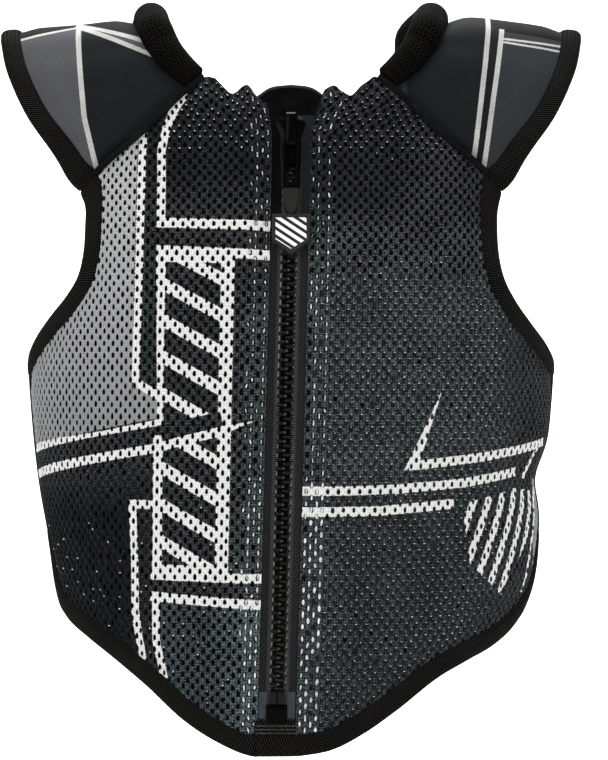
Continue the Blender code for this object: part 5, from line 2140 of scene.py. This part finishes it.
@dataclass
class Zip:
    """Moulded teeth, slider, pull, badge and separating end."""

    recess: float = 0.003
    top: float = 0.0667
    end: float = 0.3350
    pitch: float = 0.00455
    width: float = 0.00195
    height: float = 0.0022
    half: float = 0.0047
    cord: float = 0.00085
    bead: float = 0.00085
    # power of a tooth's superellipsoid, its reach in half chains, and the rings and points of its grid
    square: float = 0.55
    reach: tuple[float, float] = (-0.20, 0.86)
    grid: tuple[int, int] = (9, 12)
    foot_web: Strip = Strip(0.3545, 0.3360, (-0.0112, 0.0112), -0.0004, 0.0016)
    apron: Strip = Strip(0.3640, 0.3500, (-0.0112, 0.0112), 0.0010, 0.0030)
    film: Strip = Strip(0.3490, 0.3355, (0.0052, 0.0092), 0.0012, 0.0005)
    stitch_drops: tuple[float, float, float] = (0.3528, 0.3547, 0.3566)
    stitch_half: float = 0.0100
    stitch_pitch: float = 0.00098
    stitch_out: float = 0.0012
    # half length and half height of a stitch, how far its middle stands up, and points round it
    stitch: tuple[float, float, float] = (0.00052, 0.00024, 0.00022)
    stitch_points: int = 8
    # the tape starts under the cord, at this share of the half chain
    tape_start: float = 0.72
    # light of each tape, and its share above the slider's lower end, darkened there by painted shade
    tape_light: tuple[tuple[float, float], ...] = ((0.029, 0.08), (0.036, 0.90))
    badge_length: float = 0.0215
    tab_length: float = 0.0158
    tab_half: float = 0.00420
    # half of the tab's outline, and how its rings grow and stand off the pull's front
    tab_line: tuple[tuple[float, float], ...] = (
        (-0.93, 0.0), (-1.0, 0.07), (-1.0, 0.5), (-0.6, 0.86), (-0.48, 0.95), (-0.25, 1.0),
    )
    tab_rings: tuple[tuple[float, float], ...] = (
        (1.03, -0.0012), (1.03, -0.0001), (0.97, 0.0002), (0.86, 0.0003),
    )

    def frame_at(self, z: Array) -> tuple[Array, Array]:
        """Points on the tapes' middle plane at heights, and the way out there.

        Args:
            z: heights in metres.

        Returns:
            A point, and a unit vector, for each.
        """
        z = np.asarray(z, float)
        step = 0.001
        slope = (TRUNK.section(z + step)[..., 1] - TRUNK.section(z - step)[..., 1]) / (2 * step)
        out = np.stack([np.zeros_like(z), -np.ones_like(z), -slope], axis=-1)
        out /= np.linalg.norm(out, axis=-1)[..., None]
        point = np.stack([CUT.zip_x(z), -TRUNK.section(z)[..., 1], z], axis=-1) - out * self.recess
        return point, out

    def teeth(self, side: Side) -> None:
        """One row of teeth with the cord that they are moulded on.

        Formula: each tooth is a superellipsoid, wide at its head and narrow at its neck, and the wearer's
        right ones carry a ball on the middle line. The cord is a tube along them.

        Args:
            side: the row's side.
        """
        sign, node = side.value, "zip_teeth_" + side.word
        count = round((self.end - self.top) / self.pitch)
        start = -self.top - (self.pitch / 2 if sign > 0 else 0)
        centre = start - self.pitch * np.arange(count) - self.width / 2
        rings = np.linspace(0, math.pi, self.grid[0])
        turns = np.linspace(0, TURN, self.grid[1], endpoint=False)
        u, v = (part.ravel() for part in np.meshgrid(rings, turns, indexing="ij"))
        length = -signed_power(np.cos(u), self.square)
        ring = np.sin(u) ** self.square
        up, out = (ring * signed_power(part, self.square) for part in (np.cos(v), np.sin(v)))
        low, high = (self.half * share for share in self.reach)
        x = (low + high) / 2 + length * (high - low) / 2
        waist = 0.22 * np.exp(-(((x - self.half * 0.25) / 0.0008) ** 2))
        neck = 1 - waist + 0.10 * (x > self.half * 0.5)
        point, way = self.frame_at(centre[:, None] + up * self.width / 2 * neck)
        tooth = point + way * (out * self.height * (0.94 + 0.06 * neck))[..., None]
        tooth[..., 0] += sign * x
        faces = grid_faces(*self.grid, around=True)
        faces = (faces[None] + (np.arange(count) * len(u))[:, None, None]).reshape(-1, 4)
        if side is Side.RIGHT:
            ball = np.stack([-np.cos(u), np.sin(u) * np.cos(v), np.sin(u) * np.sin(v)]) * self.bead
            point, way = self.frame_at(centre[:, None] + ball[1])
            bead = point + way * (self.height - self.bead * 0.45 + ball[2])[..., None]
            bead[..., 0] += ball[0]
            beads = outwards(make_mesh("tooth_beads", bead.reshape(-1, 3), [faces]))
            place_piece(beads, Grain.BEAD.make(), stands_for=[node])
        made = outwards(make_mesh("teeth_" + side.word, tooth.reshape(-1, 3), [faces]), weld=1e-6)
        place_piece(made, Grain.RESIN.make(), stands_for=[node])
        point, _ = self.frame_at(np.linspace(-self.top, centre[-1], 120))
        point[:, 0] += sign * self.half * 0.80
        cord = path_tube("zip_cord_" + side.word, point, np.full(len(point), self.cord), 12)
        finish = Stitched("stitched_cord_" + side.word, self.cord, self.pitch).make()
        place_piece(cord, finish, stands_for=[node])

    def strip(self, name: str, strip: Strip) -> bpy.types.Object:
        """A flat webbing or film piece on the zip.

        Formula: a grid of points of the tapes' frame, moved out, with an inner copy for its wall.

        Args:
            name: the piece's name.
            strip: its place and thickness.

        Returns:
            The piece.
        """
        z = np.linspace(-strip.low, -strip.high, 14)
        x = np.linspace(*strip.across, 12)
        point, way = self.frame_at(z)
        face = np.repeat(point[:, None] + way[:, None] * strip.out, len(x), axis=1)
        face[..., 0] += x
        cloth = np.stack(np.broadcast_arrays(x[None], -z[:, None]), axis=-1)
        return wall(name, face, face - way[:, None] * strip.thickness, cloth, 40)

    def foot(self) -> None:
        """The webbing under the box, its three rows of stitches, and the film patches beside the box.

        Formula: a stitch is a low pyramid on an oval of points.
        """
        webbing = bpy.data.materials["ribbed_webbing"]
        for name, strip, finish in (("foot_webbing", self.foot_web, Grain.LINING.make()),
                                    ("foot_apron", self.apron, webbing)):
            place_piece(self.strip(name, strip), finish, stands_for=["zip_foot"])
        for side in Side:
            across = tuple(sorted(side.value * x for x in self.film.across))
            film = self.strip("film_" + side.word, replace(self.film, across=across))
            place_piece(film, Grain.FILM.make(), stands_for=["zip_foot"])
        across = np.arange(-self.stitch_half, self.stitch_half, self.stitch_pitch)
        centre = np.array([(x, -drop) for drop in self.stitch_drops for x in across])
        point, way = self.frame_at(centre[:, 1])
        point = point + way * self.stitch_out
        point[:, 0] += centre[:, 0]
        wide, tall, high = self.stitch
        k = np.arange(self.stitch_points)
        angle = np.linspace(0, TURN, len(k), endpoint=False)
        ring = np.column_stack([wide * np.cos(angle), 0 * angle, tall * np.sin(angle)])
        dots = (point[:, None] + ring).reshape(-1, 3)
        index = np.arange(len(centre))[:, None]
        first = index * len(k)
        peaks = np.broadcast_to(len(dots) + index, (len(centre), len(k)))
        faces = np.stack([first + k, first + (k + 1) % len(k), peaks], axis=-1)
        points = np.concatenate([dots, point + way * high])
        made = make_mesh("foot_stitches", points, [faces.reshape(-1, 3)])
        place_piece(made, Grain.THREAD.make(), stands_for=["zip_foot"])

    def tape(self, side: Side) -> None:
        """One woven tape, from under its cord to the panel's edge, swelling a little between them.

        Args:
            side: the tape's side.
        """
        node = "zip_tape_" + side.word
        height = node_points(node)[:, 2]
        sign = side.value
        z = np.linspace(height.min(), height.max(), 90)
        edge = TRUNK.section(z)[:, 0] * np.sin(CUT.zip_edge(z, sign)) - sign * CUT.zip_x(z)
        share = np.linspace(0, 1, 8)
        start = self.half * self.tape_start
        x = start + (edge - start)[:, None] * share
        point, way = self.frame_at(z)
        swell = 0.0005 + 0.0003 * np.sin(math.pi * share) ** 0.5
        face = point[:, None] + way[:, None] * swell[None, :, None] + (sign * x)[..., None] * (1.0, 0.0, 0.0)
        cloth = np.stack(np.broadcast_arrays(x, -z[:, None]), axis=-1)
        made = wall("tape_" + side.word, face, face - way[:, None] * 0.0010, cloth, 50)
        finish = Twill("tape_twill_" + side.word, *self.tape_light[sign > 0]).make()
        place_piece(made, finish, stands_for=[node])

    def pull_end(self) -> None:
        """The tab's smooth cover and the badge with its bars, on the frame of the CAD badge.

        Formula: the way down the badge is the main axis of its points' spread in Y and Z.
        """
        points = node_points("zip_badge")
        plane = points[:, 1:] - points[:, 1:].mean(axis=0)
        down = np.linalg.eigh(plane.T @ plane)[1][:, 1]
        down = down * math.copysign(1, -down[1])
        reach = points[:, 1:] @ down
        out_way = np.array([down[1], -down[0]])
        out = points[:, 1:] @ out_way
        half = float(np.ptp(points[:, 0])) / 2
        front = float(out.max() + out.min()) / 2
        badge = rounded_copy("zip_badge", "badge", 0.00022)
        ink = BadgePrint(Hatch(55.0, 3.5, 1.9))
        finish = ink.make(float(reach.max()), down, half, self.badge_length, front)
        place_piece(badge, finish, body="pull", stands_for=["zip_badge"])
        top = float(reach.max()) - self.badge_length
        middle = float(points[:, 0].min() + half)
        line = np.array(self.tab_line)
        line = np.concatenate([line, (line * (-1, 1))[::-1]])
        line = line * (self.tab_half, self.tab_length) + (0, -self.tab_length - 0.0002)
        link = node_points("zip_pull")
        face = float((link[:, 1:] @ out_way)[link[:, 1:] @ down > top - self.tab_length * 0.6].max())
        centre = line.mean(axis=0)
        rings = []
        for grow, out in self.tab_rings:
            flat = centre + (line - centre) * (grow, 1 - (1 - grow) * 0.5)
            place = flat[:, 1:] * down + top * down + (face + out) * out_way
            rings.append(np.column_stack([middle + flat[:, 0], place]))
        ring = np.arange(len(line))
        faces = [grid_faces(len(rings), len(line), around=True), ring[None, ::-1],
                 (ring + (len(rings) - 1) * len(line))[None]]
        tab = outwards(make_mesh("pull_tab", np.concatenate(rings), faces, sharp=50))
        place_piece(tab, Grain.TAB.make(), body="pull", stands_for=["zip_pull"])

    def hard(self, node: str, name: str, width: float, finish: Grain, body: str = "vest") -> None:
        """A rounded copy of a moulded part.

        Args:
            node: the CAD node.
            name: the piece's name.
            width: width of the rounding in metres.
            finish: its finish.
            body: the body that it rides on.
        """
        piece = rounded_copy(node, name, width)
        place_piece(piece, finish.make(), body=body, stands_for=[node])

    def build(self) -> None:
        """Makes the teeth and tapes and rounds the hard parts."""
        for side in Side:
            self.teeth(side)
            self.tape(side)
            self.hard("zip_pin_" + side.word, "pin_" + side.word, 0.0005, Grain.RESIN)
        self.hard("zip_box", "pin_box", 0.0006, Grain.LACQUER)
        self.hard("zip_slider", "slider", 0.00028, Grain.LACQUER)
        self.foot()
        self.hard("zip_pull", "pull", 0.00025, Grain.LACQUER, body="pull")
        self.pull_end()


# ---- the studio


@dataclass(frozen=True)
class Studio:
    """Pale sweep, soft lights and the camera in front of the vest."""

    distance: float = 1.6
    height: float = -0.178
    lens: float = 142.1
    shift: float = 0.0171
    sky: float = 0.45
    # the sweep's wall and floor, the radius between them, its near end, its top and its half width
    sweep: tuple[float, float, float, float, float, float] = (1.4, -0.415, 0.5, -3.0, 3.0, 4.0)
    # name, place, size, power and the place it points at
    lamps: tuple[tuple[str, tuple[float, float, float], float, float, tuple[float, float, float]], ...] = (
        ("key", (-1.1, -1.5, 1.1), 1.2, 20.0, (0.0, 0.0, -0.18)),
        ("fill", (1.3, -1.4, 0.5), 1.4, 10.0, (0.0, 0.0, -0.18)),
        ("top", (0.0, 0.1, 1.6), 1.4, 10.0, (0.0, 0.0, -0.18)),
        ("back", (0.0, 0.7, 0.9), 1.6, 34.0, (0.0, 0.9, 0.0)),
    )

    def build(self) -> None:
        """Makes the sweep, the lights and the camera.

        The sweep's wall can't be seen from behind, so it hides no view of the vest's back.
        """
        scene = bpy.context.scene
        scene.view_settings.view_transform = "Standard"
        world = bpy.data.worlds.new("studio")
        world.use_nodes = True
        sky = world.node_tree.nodes["Background"].inputs
        sky["Color"].default_value = (1.0, 1.0, 1.0, 1.0)
        sky["Strength"].default_value = self.sky
        scene.world = world
        back, floor, bend, near, high, half = self.sweep
        angle = np.linspace(0, QUARTER, 24)
        arc = np.column_stack([back - bend + bend * np.sin(angle), floor + bend - bend * np.cos(angle)])
        profile = np.vstack([[(near, floor)], arc, [(back, high)]])
        points = np.array([[(x, *place) for place in profile] for x in (-half, half)])
        sweep = make_mesh("floor_sweep", points.reshape(-1, 3), [grid_faces(2, len(profile))])
        nodes = Nodes("pale_floor")
        grain = nodes.noise(nodes.space(), 0.15, 2.0)
        behind = nodes.add("ShaderNodeNewGeometry", out="Backfacing")
        pale = nodes.mix(grain, (0.93, 0.93, 0.93), (0.95, 0.95, 0.95))
        sweep.data.materials.append(nodes.finish(Base_Color=pale, Roughness=0.9, Alpha=1.0 - behind))
        for name, place, size, power, target in self.lamps:
            lamp = bpy.data.lights.new(name, "AREA")
            lamp.energy, lamp.size = power, size
            light = bpy.data.objects.new(name, lamp)
            light.location = place
            light.rotation_mode = "QUATERNION"
            light.rotation_quaternion = self._look(np.array(target) - place)
            scene.collection.objects.link(light)
        lens = bpy.data.cameras.new("camera")
        lens.lens, lens.sensor_width, lens.shift_x = self.lens, 36.0, self.shift
        lens.clip_end = 20.0
        camera = bpy.data.objects.new("camera", lens)
        camera.location = (0.0, -self.distance, self.height)
        camera.rotation_euler = (QUARTER, 0.0, 0.0)
        scene.collection.objects.link(camera)
        scene.camera = camera

    def _look(self, aim: Array) -> Quaternion:
        """The turn that points a light's -Z along a way."""
        return Vector(tuple(aim)).to_track_quat("-Z", "Y")


# ---- the vest

# The print, in millimetres: s from the zip's edge, and the drop below the shoulder line
RIGHT_PRINT = (
    Print(Tone.SLATE, ([(53, 290), (-2, 293), (-2, 362), (53, 362)],)),
    Print(Tone.SILVER, (
        [(71, 50), (101, 78), (101, 104), (71, 180)],
        [(71, 100), (101, 84), (166, 165), (156, 214), (71, 200)],
        [(70, 178), (40, 194.5), (72, 200)],
    )),
    Print(Tone.PALE, (
        *stripes(4.4, (68.3, 50), (68.4, 137), (69, 179), (40, 194.6), (60, 201), (90, 206.5), (156, 214)),
        *stripes(4.6, (43, 30), (49, 38), (55, 48), (57.6, 60), (57.2, 75), (56.8, 100)),
        *stripes(5.0, (59, 97.8), (-3, 100)), *stripes(5.0, (59, 112), (-3, 115)),
        [(59, 112), (17.6, 114), (17, 276), (53.8, 276)],
    )),
    Print(Tone.DEEP, ([(53.6, 118), (24.4, 119), (23.8, 271.5), (52.5, 271.5)],), Hatch(62.0, 16.4, 10.2)),
    Print(Tone.DEEP, stripes(8.8, (158, 221.2), (58, 206.0), (22, 198.0))),
    Print(Tone.PALE, (
        *stripes(4.6, (158, 228), (59, 212.8), (21, 203.4)), [(22, 201), (22, 205.6), (5.7, 198.6)],
        *stripes(4.6, (55.9, 206), (55.6, 276)),
        *stripes(4.8, (58.5, 276.6), (-3, 278.2)), *stripes(4.8, (58.5, 287.6), (-3, 291.6)),
        *stripes(4.4, (70, 238.8), (68.5, 269), (67.6, 295), (63, 322)),
        *stripes(4.4, (71, 241), (56, 241.2)),
        *stripes(4.4, (55.6, 286), (54.9, 310), (50.4, 330)),
    )),
)
LEFT_PRINT = (
    Print(Tone.SILVER, (
        [(141.5, 240.6), (150, 229), (168, 231), (166, 246), (156, 268), (146, 292), (140, 292), (148, 262)],
    )),
    Print(Tone.PALE, (
        *stripes(4.6, (-3, 233.8), (24, 233.6), (50, 232.8), (89, 230.2), (128, 225.4)),
        *stripes(4.8, (-3, 244.4), (40, 243.8), (81, 240.8)),
        [(71.6, 183.6), (51.8, 223.8), (60.4, 218.9)],
        *stripes(4.6, (54.5, 221.4), (100, 217.2), (158, 210.4)),
        *stripes(3.4, (151.5, 211), (145.2, 217.2), (138.1, 229.0)),
        *stripes(2.6, (161, 235), (153.4, 241.5), (149.6, 255), (142.8, 272.3), (138.6, 289)),
    )),
    Print(Tone.PALE, ([(86, 241), (128, 234), (151, 236), (139, 262), (114, 288), (92, 272)],),
          Hatch(24.0, 9.6, 4.4)),
)
# Painted light and shade: shares by which the yarn is painted paler or darker, and where
RIGHT_LIGHT_AND_SHADE = (
    (-0.60, [(-20, 30), (70, 30), (70, 84), (-20, 84)]),
    (-0.85, [(62, 232), (190, 232), (190, 360), (62, 360)]),
    (0.60, [(-20, 140), (16, 140), (16, 360), (-20, 360)]),
)
LEFT_LIGHT_AND_SHADE = (
    (-0.55, [(-20, 30), (60, 30), (44, 92), (-20, 92)]),
    (0.55, [(-20, 100), (110, 100), (120, 232), (-20, 232)]),
    (0.35, [(-20, 240), (22, 240), (22, 360), (-20, 360)]),
)
# The straps' colour blocks and stripes, in millimetres of x and z
RIGHT_STRAP = Knit(
    "strap_knit_right", (0.098, 0.099, 0.108),
    inner=([(-110, 6.5), (-30, -22.7), (-30, -80), (-98, -80), (-106.9, -42.4)],),
    bare=([(-150, -0.9), (-113.5, 8.6), (-113.5, 30), (-150, 30)],
          [(-113.5, 10.2), (-60, -2.9), (-60, 30), (-113.5, 30)]),
    pale=(*stripes(2.7, (-112.2, 9.0), (-109.5, -17.4), (-106.9, -42.4), (-99.6, -73)),
          *stripes(2.2, (-114, 10.3), (-66, -4.5)), *stripes(2.4, (-111.5, 7.9), (-68, -10.8)),
          *stripes(1.4, (-113, 8.0), (-146, 0.2))),
)
LEFT_STRAP = Knit(
    "strap_knit_left", (0.036, 0.042, 0.046),
    inner=([(60, 30), (112, 30), (108.5, -6), (98.5, -76), (60, -80)],),
    bare=([(104, 8.8), (112, 4.4), (150, -1.2), (150, 30), (104, 30)],),
    pale=(*stripes(2.6, (104.6, 16), (99.2, -25.8), (94.0, -68)),
          *stripes(2.6, (110.6, 6), (104.8, -31.3), (99.2, -72)),
          *stripes(1.2, (109, 0.4), (146, -3.4)), *stripes(1.1, (109, -1.4), (146, -6.6))),
)


def main() -> None:
    """Builds the vest piece by piece."""
    logging.basicConfig(level=logging.INFO, format="%(message)s")
    webbing = Webbing().make()
    roll_mesh = SmallHoles().make()

    def beside_zip(cloth: Array, odd: bool = False) -> Array:
        """Most holes of every other row carry a painted highlight on their yarn beside the zip; low down
        nearly all.

        Args:
            cloth: the holes' middles.
            odd: whether the odd rows shine.

        Returns:
            Each hole's chance.
        """
        s, t = cloth.T
        own = np.round(t / Padding.row) % 2 == odd
        low = smooth((t - 0.235) / 0.01)
        usual = 0.92 - 0.45 * smooth((0.078 - t) / 0.01)
        return np.where(s < 0.0120, np.where(own, usual, 0.20 + 0.60 * low * (s < 0.0090)), 0.0)

    def by_neck(cloth: Array) -> Array:
        """Under the gathered neckline most knots carry painted highlights, and a few low down.

        Args:
            cloth: the holes' middles.

        Returns:
            Each knot's chance.
        """
        s, t = cloth.T
        high = smooth((0.070 - t) / 0.010) * smooth((0.056 - s) / 0.006)
        return 0.92 * high + 0.12 * smooth((t - 0.24) / 0.05)

    def knot_highlight_chance(cloth: Array) -> Array:
        """Knots under the left neckline, on the left breast and low down carry painted highlights.

        Args:
            cloth: the holes' middles.

        Returns:
            Each knot's chance.
        """
        s, t = cloth.T
        low = smooth((s - 0.004) / 0.01) * smooth((0.125 - s) / 0.04) * smooth((t - 0.12) / 0.03)
        return 0.96 * low + 0.75 * smooth((0.075 - t) / 0.012)

    def on_chest(cloth: Array) -> Array:
        """Most holes from the left breast down are filled by the spacer's yarn."""
        s, t = cloth.T
        return 0.985 * smooth((s - 0.002) / 0.006) * smooth((0.150 - s) / 0.03) * smooth((t - 0.120) / 0.02)

    def in_low_part(cloth: Array) -> Array:
        """Many holes on the lower right are filled by it."""
        s, t = cloth.T
        return 0.60 * smooth((t - 0.215) / 0.03) * smooth((s - 0.055) / 0.01)

    FrontPanel(Side.RIGHT, Spacer("front_mesh_right", RIGHT_PRINT, RIGHT_LIGHT_AND_SHADE),
               Glint(0.00032, 0.00110, beside_zip, low_growth=0.5),
               Glint(0.00044, 0.00040, by_neck, (0.0, -0.0012), 0.00040, 12),
               Glint(0.00110, 0.00160, in_low_part, (0.0, 0.0), -0.0004, 15)).build()
    FrontPanel(Side.LEFT, Spacer("front_mesh_left", LEFT_PRINT, LEFT_LIGHT_AND_SHADE),
               Glint(0.00036, 0.00120, lambda cloth: beside_zip(cloth, True), seed=13, low_growth=0.9),
               Glint(0.00048, 0.00024, knot_highlight_chance, (0.0, -0.0013), 0.00045, 14),
               Glint(0.00115, 0.00165, on_chest, (0.0, 0.0), -0.0002, 16)).build()
    BackPanel(Spacer("back_mesh")).build()
    Bindings().build(webbing)
    for side, knit in ((Side.RIGHT, RIGHT_STRAP), (Side.LEFT, LEFT_STRAP)):
        Shoulder(side, knit).build(webbing, roll_mesh)
    Zip().build()
    Studio().build()


if __name__ == "__main__":
    main()
